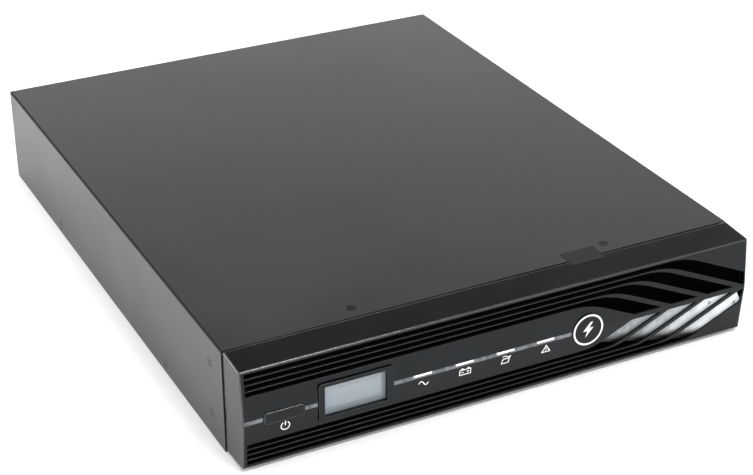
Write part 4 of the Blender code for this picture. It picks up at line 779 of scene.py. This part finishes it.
LIGHTS = 4
LIGHT_WIDTH = 0.015
LIGHT_HEIGHT = 0.0018
LIGHT_RISE = 0.0009


def light_spans():
    """Left and right ends of the four status bars."""
    low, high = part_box("light_pipe")
    pitch = (high.x - low.x - LIGHT_WIDTH) / (LIGHTS - 1)
    return [(low.x + i * pitch, low.x + i * pitch + LIGHT_WIDTH) for i in range(LIGHTS)]


def light_heights():
    middle = RIDGE_Z + LIGHT_RISE
    return middle - LIGHT_HEIGHT / 2, middle + LIGHT_HEIGHT / 2


def build_insert():
    """The bright sheet behind the lower chevrons, ended on a slant at its right."""
    low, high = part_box("chevron_insert")
    lean = face_y(low.z) - face_y(high.z)
    outline = [
        (low.x, high.z),
        (low.x, low.z + 0.6 * (high.z - low.z)),
        (low.x + 0.6 * (high.x - low.x), low.z),
        (from_left(0.4366), low.z),
        (from_left(0.4362), 0.0290),
        (from_left(0.4305), 0.0398),
        (from_left(0.4290), high.z),
    ]
    sheet = prism("silver_sheet", [outline], 0, 0.0009, "Y")
    push_back(sheet, lambda z: low.y + lean * ((high.z - z) / (high.z - low.z)))
    piece(smooth(sheet), "bezel", SILVER, ["chevron_insert"])


def push_back(obj, distance_at):
    """Moves each point back by a distance that depends on its height."""
    for vertex in obj.data.vertices:
        vertex.co.y += distance_at(vertex.co.z)


def build_badge():
    """A dark disc with a thin white ring and a plain lightning bolt."""
    low, high, x, _ = box_and_middle("badge")
    radius = (high.x - low.x) / 2
    front, edge, dish = low.y + 0.00012, 0.0004, 0.0019
    profile = [(0, front + 0.0002), (radius - dish, front + 0.0002), (radius - dish + 0.0002, front),
               (radius - edge, front), (radius, front + edge), (radius, high.y), (0, high.y)]
    disc = turned("badge_disc", [(r, -y) for r, y in profile], (x, 0, RIDGE_Z), "-Y", 96)
    piece(smooth(disc), "bezel", DARK, ["badge"])
    circles = [circle((x, RIDGE_Z), radius - inset, 96) for inset in (edge, dish)]
    ring = prism("badge_ring", circles, front - 0.0001, front + 0.0001, "Y")
    piece(smooth(ring), "bezel", WHITE_INK)
    bolt = [(1.8, 6.4), (-4.6, -0.9), (-0.7, -0.9), (-2.4, -6.4), (4.6, 1.5), (0.8, 1.5), (3.9, 6.4)]
    bolt = [(x + 0.001 * across, RIDGE_Z + 0.001 * up) for across, up in bolt]
    emblem = prism("badge_bolt", [bolt], front + 0.00006, front + 0.00022, "Y")
    piece(soften(emblem, 0.00004, 1), "bezel", WHITE_INK)


def build_display():
    """Frame, window and blank display."""
    low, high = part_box("lcd_frame")
    outlines = [rounded_box(low, high, 0.0022), rounded_box(*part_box("lcd_window"), 0.0006, GAP)]
    shell = prism("display_frame", outlines, low.y, high.y, "Y")
    piece(soften(shell, 0.0005, 3, finishes=SLATE_AND_HIGHLIGHT), "bezel", SLATE, ["lcd_frame"])
    keep("lcd_window", WINDOW)
    keep("lcd_panel", DISPLAY)


def build_power_button():
    """A long cap with a crowned front and a lip behind the bezel."""
    low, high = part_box("power_button")
    cap = prism("button_cap", [rounded_box(low, high, 0.002, -BUTTON_LIP)], low.y, high.y - 0.0006, "Y")
    soften(cap, 0.0006, 4, finishes=SLATE_AND_HIGHLIGHT)
    fuse(cap, box("button_lip", (low.x, high.y - BUTTON_LIP, low.z), high))
    piece(smooth(cap), "power_button", SLATE, ["power_button"])


def print_icon(name, outlines):
    """White print on the bezel: shapes of (x, z) points, each an outline or a pair of outline and hole."""
    obj = gather(name, [prism(name + "_stroke", shape, 0, 0.00005, "Y") for shape in outlines])
    push_back(obj, lambda z: face_y(z) - 0.00004)
    piece(obj, "bezel", WHITE_INK)


ICON_HEIGHT = 0.0362
ICON_ASIDE = 0.0009
ICON_STROKE = 0.00062
POWER_MARK = (from_left(0.034), 0.0328)


def build_icons():
    """Small pictures under the four status bars, drawn in millimetres, and the mark under the button."""
    def placed(x, points):
        return [(x + 0.001 * across, ICON_HEIGHT + 0.001 * up) for across, up in points]

    def stroke(x, points, width=ICON_STROKE):
        return [ribbon(placed(x, points), width)]

    mains, battery, bypass, fault = [(left + right) / 2 + ICON_ASIDE for left, right in light_spans()]
    wave = [(-4 + 8 * i / 24, 1.9 * math.sin(math.tau * i / 24)) for i in range(25)]
    print_icon("icon_mains", [stroke(mains, wave, ICON_STROKE * 1.3)])

    cell = [placed(battery, rectangle(-5, -2.9, 5, 2.2)), placed(battery, rectangle(-4.3, -2.2, 4.3, 1.5))]
    posts = [[placed(battery, rectangle(side - 0.9, 2.1, side + 0.9, 3.3))] for side in (-2.6, 2.6)]
    signs = [((-3.3, -0.35), (-1.3, -0.35)), ((1.3, -0.35), (3.3, -0.35)), ((2.3, -1.35), (2.3, 0.65))]
    print_icon("icon_battery", [cell, *posts, *(stroke(battery, sign) for sign in signs)])

    plug = [placed(bypass, [(-4.2, -3), (2.2, -3), (3.4, 1.6), (-3.0, 1.6)]),
            placed(bypass, [(-3.3, -2.3), (1.6, -2.3), (2.5, 0.9), (-2.5, 0.9)])]
    tip = [placed(bypass, [(1.0, 2.6), (4.4, 3.6), (2.9, 0.4)])]
    print_icon("icon_bypass", [plug, stroke(bypass, arc((-1.2, 0.4), 3.4, 25, 125, 10)), tip])

    sign = [placed(fault, [(-4.2, -3), (4.2, -3), (0, 3.9)]),
            placed(fault, [(-2.9, -2.3), (2.9, -2.3), (0, 2.4)])]
    print_icon("icon_fault", [sign, stroke(fault, [(0, -0.6), (0, 1.2)]),
                              stroke(fault, [(0, -1.9), (0, -1.25)])])

    ring = arc(POWER_MARK, 0.00375, 122, 418, 24) + arc(POWER_MARK, 0.00298, 418, 122, 24)
    x, z = POWER_MARK
    print_icon("icon_power", [[ring], [ribbon([(x, z + 0.0003), (x, z + 0.0042)], 0.0008)]])


def build_strips():
    """The ridge's strips and status bars: bright in front, dark on top and behind the bezel's wall."""
    for node in (*ACCENT_STRIPS, "light_pipe"):
        strip = keep(node, LAMP if node == "light_pipe" else STRIP)
        strip.data.materials.append(MATT)
        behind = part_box(node)[0].y + BEZEL_WALL / 2
        for face in strip.data.polygons:
            if face.normal.z > 0.7 or (strip.matrix_world @ face.center).y > behind:
                face.material_index = 1


def build_bezel_backs():
    """Filters, board and switch. The upper filter's foot hangs lower than its node's does, so that
    no one looks under it through the slots from above."""
    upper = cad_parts["upper_dust_filter"]
    middle = box_and_middle("upper_dust_filter")[3]
    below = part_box("lower_dust_filter")[1].z + GAP
    mesh = upper.data.copy()
    mesh.transform(upper.matrix_world)
    mesh.materials.clear()
    for vertex in mesh.vertices:
        if vertex.co.z < middle + SLOT_PITCH:
            vertex.co.z = max(vertex.co.z - FILTER_HANG, below)
    piece(mesh_object("upper_filter_sheet", mesh), "bezel", FOAM, ["upper_dust_filter"])
    keep("lower_dust_filter", FOAM)
    keep("display_board", MATT)
    keep("button_switch", GREY)


# Screws


def screw_mesh():
    """A countersunk screw along +Z with a cross recess, its head's top at zero."""
    head, shank, length, groove = 0.0036, 0.0015, 0.007, 0.00032
    profile = [(0, -0.00008), (head - 0.0007, -0.00008), (head - 0.0005, -groove), (head - 0.0001, -groove),
               (head, -0.00045), (head, -0.0005), (shank, -0.0016), (shank, -length), (0, -length)]
    body = turned("screw", profile, (0, 0, 0), "+Z", 40)
    arm, depth, half, taper = 0.0021, 0.0022, 0.00032, 0.45
    cross = []
    for angle in (0, math.pi / 2):
        turn = Matrix.Rotation(angle, 4, "Z")
        work = bmesh.new()
        bmesh.ops.create_cube(work, size=1, matrix=turn @ Matrix.Diagonal((2 * arm, 2 * half, depth, 1)))
        for vertex in work.verts:
            if vertex.co.z < 0:
                vertex.co.xy *= taper
        cross.append(from_bmesh("recess", work))
    carve(body, *cross)
    mesh = smooth(body, 40).data
    bpy.data.objects.remove(body, do_unlink=True)
    return mesh


def build_screws():
    mesh = screw_mesh()
    for number, node in enumerate(n for n in sorted(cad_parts) if "_screw_" in n):
        low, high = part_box(node)
        place = (low + high) / 2
        if node.startswith("top"):
            place.z, towards = high.z, "+Z"
        elif place.x > 0:
            place.x, towards = high.x, "+X"
        else:
            place.x, towards = low.x, "-X"
        turn = Matrix.Rotation(math.radians(17 + 41 * number), 4, "Z")
        own = mesh.copy()
        own.transform(Matrix.Translation(place) @ TURN_TO[towards] @ turn)
        piece(mesh_object("cross_" + node, own), "case", OXIDE, [node])


# Case


def cover_paint():
    """The same paint, with a painted dark reflection along the cover's two long bends, which are also made
    rougher there.
    """
    sheet = Sheet("cover_coat", 0.31, Specular_IOR_Level=0.38)
    slow, fine, mixed = sheet.mottle(9, 1500)
    across, _, up = sheet.axes()
    # Painted reflection: a dark band along each long bend, darker and rougher, where the bends would mirror a
    # dark horizon.
    corner = sheet.plus(sheet.maths("ABSOLUTE", across, 0), up)
    outermost = HALF_WIDTH + CASE_HEIGHT
    bend = sheet.spread(corner, 0, 1, start=outermost - 0.0019, end=outermost - 0.0013)
    tone = sheet.toned(mixed, (0.0070, 0.0070, 0.0074), (0.0102, 0.0102, 0.0107))
    sheet.colour(sheet.blend(bend, tone, (0.0010, 0.0010, 0.0010)))
    sheet.rough(sheet.plus(sheet.spread(slow, 0.28, 0.34), sheet.times(bend, 0.6)))
    sheet.bump(fine, 0.000016)
    return sheet.material


def build_case():
    keep("top_cover", cover_paint(), 0.0002, 1)
    for node in ("chassis_pan", "front_plate", "bay_divider", "battery_tray"):
        keep(node, ZINC, 0.00012, 1)


def build_rear_panel():
    keep("rear_panel", PAINT, 0.00012, 1)
    keep("slot_cover", PAINT, 0.0003, 2)
    low, high, _, z = box_and_middle("slot_cover")
    heads = [pan_head(Vector((x, high.y, z)), 0.0030, 0.0011) for x in (low.x + 0.006, high.x - 0.006)]
    piece(smooth(gather("slot_cover_screws", heads)), "case", OXIDE)


def pan_head(place, radius, rise):
    """A low round screw head with a cross recess, facing the rear."""
    profile = [(0, rise), (radius * 0.6, rise * 0.92), (radius * 0.88, rise * 0.6), (radius, 0), (0, 0)]
    head = turned("pan_head", profile, place, "+Y", 28)
    arm, half = radius * 0.5, radius * 0.09
    front, back = place.y + rise * 0.35, place.y + rise * 2
    return carve(head, *[box("recess", *block(place.x, place.z, aside, up, front, back))
                         for aside, up in ((arm, half), (half, arm))])


# Fans

FAN_BORE = 0.038
FAN_TUBE_WALL = 0.0012
FAN_HUB = 0.0165
FAN_BLADES = 7
FAN_STRUT = 0.004
FAN_SCREW_REACH = 0.0465
GUARD_RINGS = (0.014, 0.0195, 0.025, 0.0305, 0.036)
GUARD_WIRE = 0.0009
GUARD_ARM = 0.0475


def diagonals(x, z, reach):
    """Four places round a middle, on its diagonals."""
    return arc((x, z), reach, 45, 315, 3)


def build_fan(side):
    """The frame: a square shell with a waist, round its bore and its motor's mount on four struts."""
    low, high, x, z = box_and_middle(f"fan_frame_{side}")
    size, corner, back, rim = high.x - low.x, 0.004, 0.0035, 0.0042
    corners = diagonals(x, z, FAN_SCREW_REACH)
    outline = rounded_rectangle(low.x, low.z, size, size, corner)
    holes = [circle(place, 0.0021, 20) for place in corners]
    shell = prism("fan_shell", [outline, circle((x, z), FAN_BORE, 96), *holes], low.y, high.y, "Y")
    outline = rounded_rectangle(low.x - 0.001, low.z - 0.001, size + 0.002, size + 0.002, corner)
    waist = prism("fan_waist", [outline, circle((x, z), FAN_BORE + FAN_TUBE_WALL, 96)],
                  low.y + rim, high.y - rim, "Y")
    carve(waist, *[rod("boss", 0.0048, high.y - low.y, (across, low.y, up), "+Y", 24)
                   for across, up in corners])
    carve(shell, waist)
    mount_front = high.y - back
    spokes = []
    for angle in (0, 90, 180, 270):
        ends = [polar((x, z), reach, angle) for reach in (FAN_HUB * 0.8, FAN_BORE + FAN_TUBE_WALL / 2)]
        spokes.append(prism("spoke", [ribbon(ends, FAN_STRUT)], mount_front + 0.0005, high.y - 0.0005, "Y"))
    profile = [(0, back - 0.0007), (0.010, back - 0.0007), (0.0105, back), (FAN_HUB - 0.0005, back),
               (FAN_HUB, back - 0.0005), (FAN_HUB, 0), (0, 0)]
    fuse(shell, turned("fan_mount", profile, (x, mount_front, z), "+Y", 64), *spokes)
    piece(soften(shell, 0.0003, 2), "case", MATT, [f"fan_frame_{side}"])
    build_rotor(side, x, z)
    build_guard(side, x, z)


def build_rotor(side, x, z):
    """A round-shouldered hub with seven curved, twisted blades."""
    low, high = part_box(f"fan_rotor_{side}")
    length = high.y - low.y
    rim, dish = 0.0022, 0.0006
    profile = [(0, length - dish), (0.006, length - dish), (0.0065, length), (FAN_HUB - dish, length),
               (FAN_HUB, length - dish), *arc((FAN_HUB - rim, rim), rim, 0, -90, 6), (0, 0)]
    parts = [turned("rotor_hub", profile, (x, low.y, z), "+Y", 64)]
    centre = (x, (low.y + high.y) / 2, z)
    for number in range(FAN_BLADES):
        parts.append(blade(FAN_HUB - 0.0012, FAN_BORE - 0.0016, centre, math.tau * number / FAN_BLADES))
    piece(smooth(gather(f"curved_rotor_{side}", parts), 40), f"fan_rotor_{side}", MATT,
          [f"fan_rotor_{side}"])


def blade(root, tip, centre, angle):
    """One blade: bowed sections from root to tip, each turned a little flatter than the last."""
    work = bmesh.new()
    sections, points = 8, 10
    rows = []
    for i in range(sections + 1):
        share = i / sections
        radius = root + (tip - root) * share
        chord = 0.0145 + 0.0055 * share
        pitch = math.radians(46 - 14 * share)
        sweep = math.radians(10) * share
        upper, lower = [], []
        for j in range(points + 1):
            along = j / points - 0.5
            bow = 0.0016 * (1 - 4 * along * along)
            thick = 0.0006 * (1 - 3.2 * along * along) + 0.00012
            for side, row in ((1, upper), (-1, lower)):
                s, n = along * chord, bow + side * thick
                turn = s * math.cos(pitch) - n * math.sin(pitch)
                rise = s * math.sin(pitch) + n * math.cos(pitch)
                around = angle + sweep + turn / radius
                row.append(work.verts.new((centre[0] + radius * math.cos(around), centre[1] + rise,
                                           centre[2] + radius * math.sin(around))))
        rows.append(upper + lower[::-1])
    for first, second in zip(rows, rows[1:]):
        count = len(first)
        for j in range(count):
            k = (j + 1) % count
            work.faces.new((first[j], first[k], second[k], second[j]))
    work.faces.new(rows[0])
    work.faces.new(rows[-1][::-1])
    return from_bmesh("blade", work)


def build_guard(side, x, z):
    """Rings of round wire welded to two crossed arms, whose eyes hold the fan's screws."""
    low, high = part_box(f"fan_guard_{side}")
    y = low.y + GUARD_WIRE
    parts = []
    for radius in GUARD_RINGS:
        ring = [(across, y, up) for across, up in circle((x, z), radius, 72)]
        parts.append(wire("guard_ring", ring, GUARD_WIRE * 0.8, True))
    ends = [(across, y, up) for across, up in diagonals(x, z, GUARD_ARM)]
    parts += [wire("guard_arm", [ends[i + 2], ends[i]], GUARD_WIRE) for i in (0, 1)]
    piece(smooth(gather(f"wire_guard_{side}", parts)), "case", ZINC,
          [f"fan_guard_{side}"])
    heads = [pan_head(Vector((across, low.y, up)), 0.0032, high.y - low.y + 0.0004)
             for across, up in diagonals(x, z, FAN_SCREW_REACH)]
    piece(smooth(gather(f"fan_screws_{side}", heads)), "case", OXIDE)


# Mains fittings

SOCKET = (0.0235, 0.0165)
SOCKET_CHAMFER = 0.005
ISLAND_MARGIN = 0.0026
RING_DEPTH = 0.014
PIN_SPREAD = 0.0065
EARTH_RISE = 0.0022
PIN_SLOT = (0.0022, 0.0048)
FLANGE_OUT = 0.002
FLANGE_LIP = 0.0015
OUTLETS = 4
CONTACT = 0.0004


def socket_outline(x, z, grow):
    """The mouth of an appliance socket: a rectangle with its two lower corners cut off."""
    aside, up, cut = SOCKET[0] / 2 + grow, SOCKET[1] / 2 + grow, SOCKET_CHAMFER
    right = [(aside - cut, -up), (aside, cut - up), (aside, up)]
    left = [(-across, level) for across, level in right[::-1]]
    return [(x + across, z + level) for across, level in left + right]


def moulded_block(name, node):
    """A block behind the panel with a round-cornered flange outside it."""
    low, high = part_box(node)
    lip = FLANGE_LIP
    body = box(name, (low.x + lip, low.y, low.z + lip), (high.x - lip, high.y - GAP, high.z - lip))
    plate = prism("flange", [rounded_box(low, high, 0.002)], REAR_Y + GAP, high.y, "Y")
    return fuse(body, soften(plate, 0.0005, 3))


def pin_places(x, z):
    return [(x - PIN_SPREAD, z - EARTH_RISE), (x, z + EARTH_RISE), (x + PIN_SPREAD, z - EARTH_RISE)]


def build_outlets():
    """Two rows of four outlets, with sprung contacts down their slots."""
    half_width, half_height = PIN_SLOT[0] / 2, PIN_SLOT[1] / 2
    ahead = REAR_Y + OVERRUN
    for level in ("lower", "upper"):
        node = f"outlet_block_{level}"
        low, high, _, z = box_and_middle(node)
        body = moulded_block("outlets_" + level, node)
        pitch = (high.x - low.x - 2 * FLANGE_LIP) / OUTLETS
        rings, pins, contacts = [], [], []
        for number in range(OUTLETS):
            x = low.x + FLANGE_LIP + (number + 0.5) * pitch
            rings += [socket_outline(x, z, 0), socket_outline(x, z, -ISLAND_MARGIN)]
            for pin_x, pin_z in pin_places(x, z):
                pins.append(block(pin_x, pin_z, half_width, half_height, REAR_Y - 0.008, ahead))
                for side in (-1, 1):
                    contact_x = pin_x + side * (half_width - CONTACT / 2 - 0.00005)
                    contacts.append(block(contact_x, pin_z, CONTACT / 2, half_height - 0.0006,
                                          REAR_Y - 0.0079, REAR_Y - 0.001))
        carve(body, prism("rings", rings, REAR_Y + FLANGE_OUT - RING_DEPTH, ahead, "Y"), boxes("pins", pins))
        piece(soften(body, 0.00022, 2), "case", MATT, [node])
        piece(boxes(f"outlet_contacts_{level}", contacts), "case", NICKEL)


def build_inlet():
    """The mains inlet, with its three pins standing in the cavity."""
    _, _, x, z = box_and_middle("mains_inlet")
    body = moulded_block("inlet_block", "mains_inlet")
    deep = REAR_Y + FLANGE_OUT - 0.016
    carve(body, prism("cavity", [socket_outline(x, z, 0)], deep, REAR_Y + OVERRUN, "Y"))
    piece(soften(body, 0.0003, 2), "case", MATT, ["mains_inlet"])
    pins = boxes("inlet_pins", [block(*place, 0.001, 0.002, deep - 0.0005, deep + 0.0125)
                                for place in pin_places(x, z)])
    piece(soften(pins, 0.0005, 3), "case", NICKEL)


def build_breaker():
    """A breaker's six-sided nut and threaded neck, with the reset button in its bore."""
    low, high, x, z = box_and_middle("breaker_body")
    neck, bore, across, long = 0.0055, 0.0031, 0.0079, 0.03
    nut_back = REAR_Y + GAP
    nut = soften(rod("breaker_nut", across, high.y - nut_back, (x, nut_back, z), "+Y", 6), 0.0003, 2)
    body = rod("breaker_neck", neck, high.y - low.y - 0.0002, (x, low.y, z), "+Y", 48)
    bore_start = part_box("breaker_button")[0].y - GAP
    carve(body, rod("bore", bore, long, (x, bore_start, z), "+Y", 48))
    carve(nut, rod("nut_bore", neck - 0.0001, long, (x, nut_back - 0.001, z), "+Y", 48))
    fuse(body, nut)
    piece(smooth(body), "case", MATT, ["breaker_body"])
    low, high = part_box("breaker_button")
    length, radius = high.y - low.y, (high.x - low.x) / 2
    profile = [(0, length), (radius - 0.0007, length - 0.00005), (radius - 0.0002, length - 0.0003),
               (radius, length - 0.0008), (radius, 0), (0, 0)]
    cap = turned("reset_cap", profile, (x, low.y, z), "+Y", 48)
    piece(smooth(cap, 50), "breaker_button", CREAM, ["breaker_button"])


# Signal ports

PORT_WALL = 0.0012
CONTACT_PITCH = 0.00102


def build_ports():
    """The ports' metal shells, a tongue in one and eight sprung wires in each of the others."""
    for node in ("usb_port", "network_ports"):
        keep(node, NICKEL, 0.0002, 2)
    low, high, x, _ = box_and_middle("usb_port")
    tongue = box("usb_tongue", *block(x, low.z + PORT_WALL + 0.0038, 0.0028, 0.0014,
                                      low.y + PORT_WALL, high.y - 0.0022))
    piece(soften(tongue, 0.0003, 2), "case", MATT)
    low, high, middle, _ = box_and_middle("network_ports")
    half, top = (middle - low.x - 1.5 * PORT_WALL) / 2, high.z - 2 * PORT_WALL
    bends = [(low.y + 0.0042, top - 0.0012), (high.y - 0.006, top - 0.0014), (high.y - 0.010, top - 0.0055)]
    wires = [wire("contact", [(centre + (number - 3.5) * CONTACT_PITCH, y, z) for y, z in bends], 0.0002)
             for centre in (low.x + PORT_WALL + half, high.x - PORT_WALL - half) for number in range(8)]
    piece(smooth(gather("network_contacts", wires)), "case", NICKEL)


def build_terminal():
    """The two-way plug for the emergency switch, with its wire holes and clamp screws, in its header."""
    keep("epo_header", GREEN, 0.0002, 2)
    low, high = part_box("epo_plug")
    plug = soften(box("epo_block", low, high), 0.0003, 2)
    quarter = (high.x - low.x) / 4
    screw_z = high.z - 0.0019
    cutters, screws = [], []
    for x in (low.x + quarter, high.x - quarter):
        cutters.append(rod("wire_hole", 0.0014, 0.006, (x, high.y - 0.005, low.z + 0.0021), "+Y", 24))
        cutters.append(rod("screw_hole", 0.0013, 0.003, (x, high.y - 0.0014, screw_z), "+Y", 24))
        head = rod("clamp_screw", 0.0012, 0.0008, (x, high.y - 0.0015, screw_z), "+Y", 24)
        slit = box("slit", *block(x, screw_z, 0.0016, 0.0002, high.y - 0.0010, high.y))
        screws.append(carve(head, slit))
    carve(plug, *cutters)
    piece(smooth(plug), "epo_plug", GREEN, ["epo_plug"])
    piece(smooth(gather("epo_screws", screws)), "epo_plug", NICKEL)


# Battery drawer

TERMINAL_INSET = 0.016
TERMINAL_WIDTH = 0.006


def build_batteries():
    """Sealed batteries on their sides, with a lid line and tinned terminals in the middle channel."""
    reach, groove, lid = 0.005, 0.0004, 0.012
    for number in range(1, 5):
        low, high, _, middle = box_and_middle(f"battery_{number}")
        inward = 1 if number < 3 else -1
        face, wall = (high.x - reach, low.x) if inward > 0 else (low.x + reach, high.x)
        near, far = sorted((face, wall))
        shell = soften(box(f"battery_shell_{number}", (near, low.y, low.z), (far, high.y, high.z)), 0.002, 4)
        outlines = [rectangle(low.y - grow, low.z - grow, high.y + grow, high.z + grow)
                    for grow in (0.001, -groove)]
        seam = face - inward * lid
        carve(shell, prism("lid_line", outlines, seam - groove, seam + groove, "X"))
        piece(smooth(shell), "battery_drawer", BATTERY, [f"battery_{number}"])
        near, far = sorted((face - inward * 0.001, face + inward * reach))
        tabs = [((near, y, middle - 0.0005), (far, y + TERMINAL_WIDTH, middle + 0.0005))
                for y in (low.y + TERMINAL_INSET, high.y - TERMINAL_INSET - TERMINAL_WIDTH)]
        piece(soften(boxes(f"battery_tabs_{number}", tabs), 0.0002, 1), "battery_drawer",
              NICKEL)


def build_drawer():
    """The drawer's bent handle and the two halves of its connector."""
    low, high, _, z = box_and_middle("tray_handle")
    radius = (high.z - low.z) / 2
    corner = 3 * radius
    left, right, front = low.x + radius, high.x - radius, low.y + radius
    plan = [(left, high.y), *arc((left + corner, front + corner), corner, 180, 270, 12),
            *arc((right - corner, front + corner), corner, -90, 0, 12), (right, high.y)]
    handle = wire("bent_handle", [(x, y, z) for x, y in plan], radius, False, 7)
    piece(smooth(handle, 50), "battery_drawer", ZINC, ["tray_handle"])
    keep("tray_plug", GREY, 0.0005, 2)
    keep("bay_socket", GREY, 0.0004, 2)


# Electronics


def build_electronics():
    """Boards and the large parts on them, behind the divider."""
    for node in ("power_board", "comms_board"):
        keep(node, LAMINATE)
    keep("heatsink", ALUMINIUM, 0.0002, 1)
    keep("charger_transformer", ZINC, 0.0005, 2)
    low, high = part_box("bulk_capacitor")
    foot = ((low.x + high.x) / 2, (low.y + high.y) / 2, low.z)
    radius, height = (high.x - low.x) / 2, high.z - low.z
    dish, neck = height - 0.001, radius - 0.0009
    profile = [(0, dish), (radius - 0.0035, dish), (radius - 0.003, height), (radius - 0.0012, height),
               (radius - 0.0004, height - 0.0004), (radius, height - 0.0012), (radius, 0.0055),
               (neck, 0.0045), (neck, 0.0038), (radius, 0.0028), (radius, 0), (0, 0)]
    can = turned("capacitor_can", profile, foot, "+Z", 64)
    piece(smooth(can), "case", SLEEVE, ["bulk_capacitor"])


def build_inductor():
    """A ring core wound with enamelled wire."""
    low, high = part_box("filter_inductor")
    centre = (low + high) / 2
    outer, tube = (high.x - low.x) / 2, (high.z - low.z) / 2
    middle = outer - tube
    turns, steps, strand = 34, 14, 0.0010
    path = []
    for i in range(turns * steps):
        around, about = math.tau * i / (turns * steps), math.tau * i / steps
        radius = middle + (tube - strand) * math.cos(about)
        path.append((centre.x + radius * math.cos(around), centre.y + radius * math.sin(around),
                     centre.z + (tube - strand) * math.sin(about)))
    winding = wire("ring_winding", path, strand, True, 2)
    piece(smooth(winding, 60), "case", COPPER)
    core = turned("ring_core", circle((middle, 0), tube - 1.8 * strand, 20), centre, "+Z", 64)
    piece(smooth(core, 60), "case", COPPER, ["filter_inductor"])


# Stage


FLOOR_GLOW = 0.16
SURROUND_STRENGTH = 1.9
SURROUND = ((0.28, 1.0), (0.37, 0.86), (0.48, 0.22), (0.66, 0.10), (1.0, 0.2))


def area_light(name, place, aim, size, power):
    light = bpy.data.lights.new(name, "AREA")
    light.shape = "RECTANGLE"
    light.size, light.size_y = size
    light.energy = power
    obj = bpy.data.objects.new(name, light)
    obj.location = place
    obj.rotation_euler = (Vector(aim) - Vector(place)).to_track_quat("-Z", "Y").to_euler()
    obj.visible_camera = False
    bpy.context.scene.collection.objects.link(obj)


def build_stage():
    """A pale floor, soft lights and a pale surround that is brightest near the horizon."""
    bpy.ops.mesh.primitive_plane_add(size=40, location=(0, 0, -0.0002))
    floor = bpy.context.object
    floor.name = "studio_floor"
    pale = grained("floor_white", (0.90, 0.90, 0.90), 0.9, grain=3, depth=0.00001, shade=0.01,
                   Specular_IOR_Level=0.0, Emission_Color=(1, 1, 1, 1), Emission_Strength=FLOOR_GLOW)
    floor.data.materials.append(pale)
    world = bpy.data.worlds.new("studio")
    bpy.context.scene.world = world
    world.use_nodes = True
    tree = world.node_tree
    background = tree.nodes["Background"]
    place = tree.nodes.new("ShaderNodeTexCoord")
    split = tree.nodes.new("ShaderNodeSeparateXYZ")
    ramp = tree.nodes.new("ShaderNodeValToRGB")
    tree.links.new(place.outputs["Generated"], split.inputs["Vector"])
    tree.links.new(split.outputs["Z"], ramp.inputs["Fac"])
    stops = ramp.color_ramp.elements
    for element, (height, tone) in zip([stops[0], stops[1], *(stops.new(0.5) for _ in SURROUND[2:])],
                                       SURROUND):
        element.position = height
        element.color = (tone, tone, tone, 1)
    tree.links.new(ramp.outputs["Color"], background.inputs["Color"])
    background.inputs["Strength"].default_value = SURROUND_STRENGTH
    area_light("overhead", (-0.3, 0.4, 2.6), (0, 0, 0), (2.0, 2.0), 44)
    area_light("edge_light", (0.16, -0.97, 1.30), (-0.12, -0.27, 0.08), (0.60, 0.10), 14)
    area_light("side_light", (-0.75, 0.60, 0.17), (-0.22, 0.05, 0.08), (0.7, 0.08), 3.6)
    bpy.context.scene.view_settings.view_transform = "Standard"


def build_camera():
    yaw, pitch, roll = (math.radians(a) for a in (CAMERA_YAW, CAMERA_PITCH, CAMERA_ROLL))
    ahead = Vector((math.sin(yaw) * math.cos(pitch), math.cos(yaw) * math.cos(pitch), -math.sin(pitch)))
    level = Vector((math.cos(yaw), -math.sin(yaw), 0))
    up = level.cross(ahead)
    right = math.cos(roll) * level + math.sin(roll) * up
    top = -math.sin(roll) * level + math.cos(roll) * up
    data = bpy.data.cameras.new("camera")
    data.lens = CAMERA_LENS
    data.shift_x, data.shift_y = CAMERA_SHIFT
    data.clip_start, data.clip_end = 0.05, 60
    camera = bpy.data.objects.new("camera", data)
    turn = Matrix((right, top, -ahead)).transposed().to_4x4()
    camera.matrix_world = Matrix.Translation(CAMERA_PLACE) @ turn
    bpy.context.scene.collection.objects.link(camera)
    bpy.context.scene.camera = camera


build_camera()
build_stage()
build_case()
build_bezel()
build_insert()
build_badge()
build_display()
build_power_button()
build_strips()
build_icons()
build_bezel_backs()
build_screws()
build_rear_panel()
build_fan("left")
build_fan("right")
build_outlets()
build_inlet()
build_breaker()
build_ports()
build_terminal()
build_batteries()
build_drawer()
build_electronics()
build_inductor()
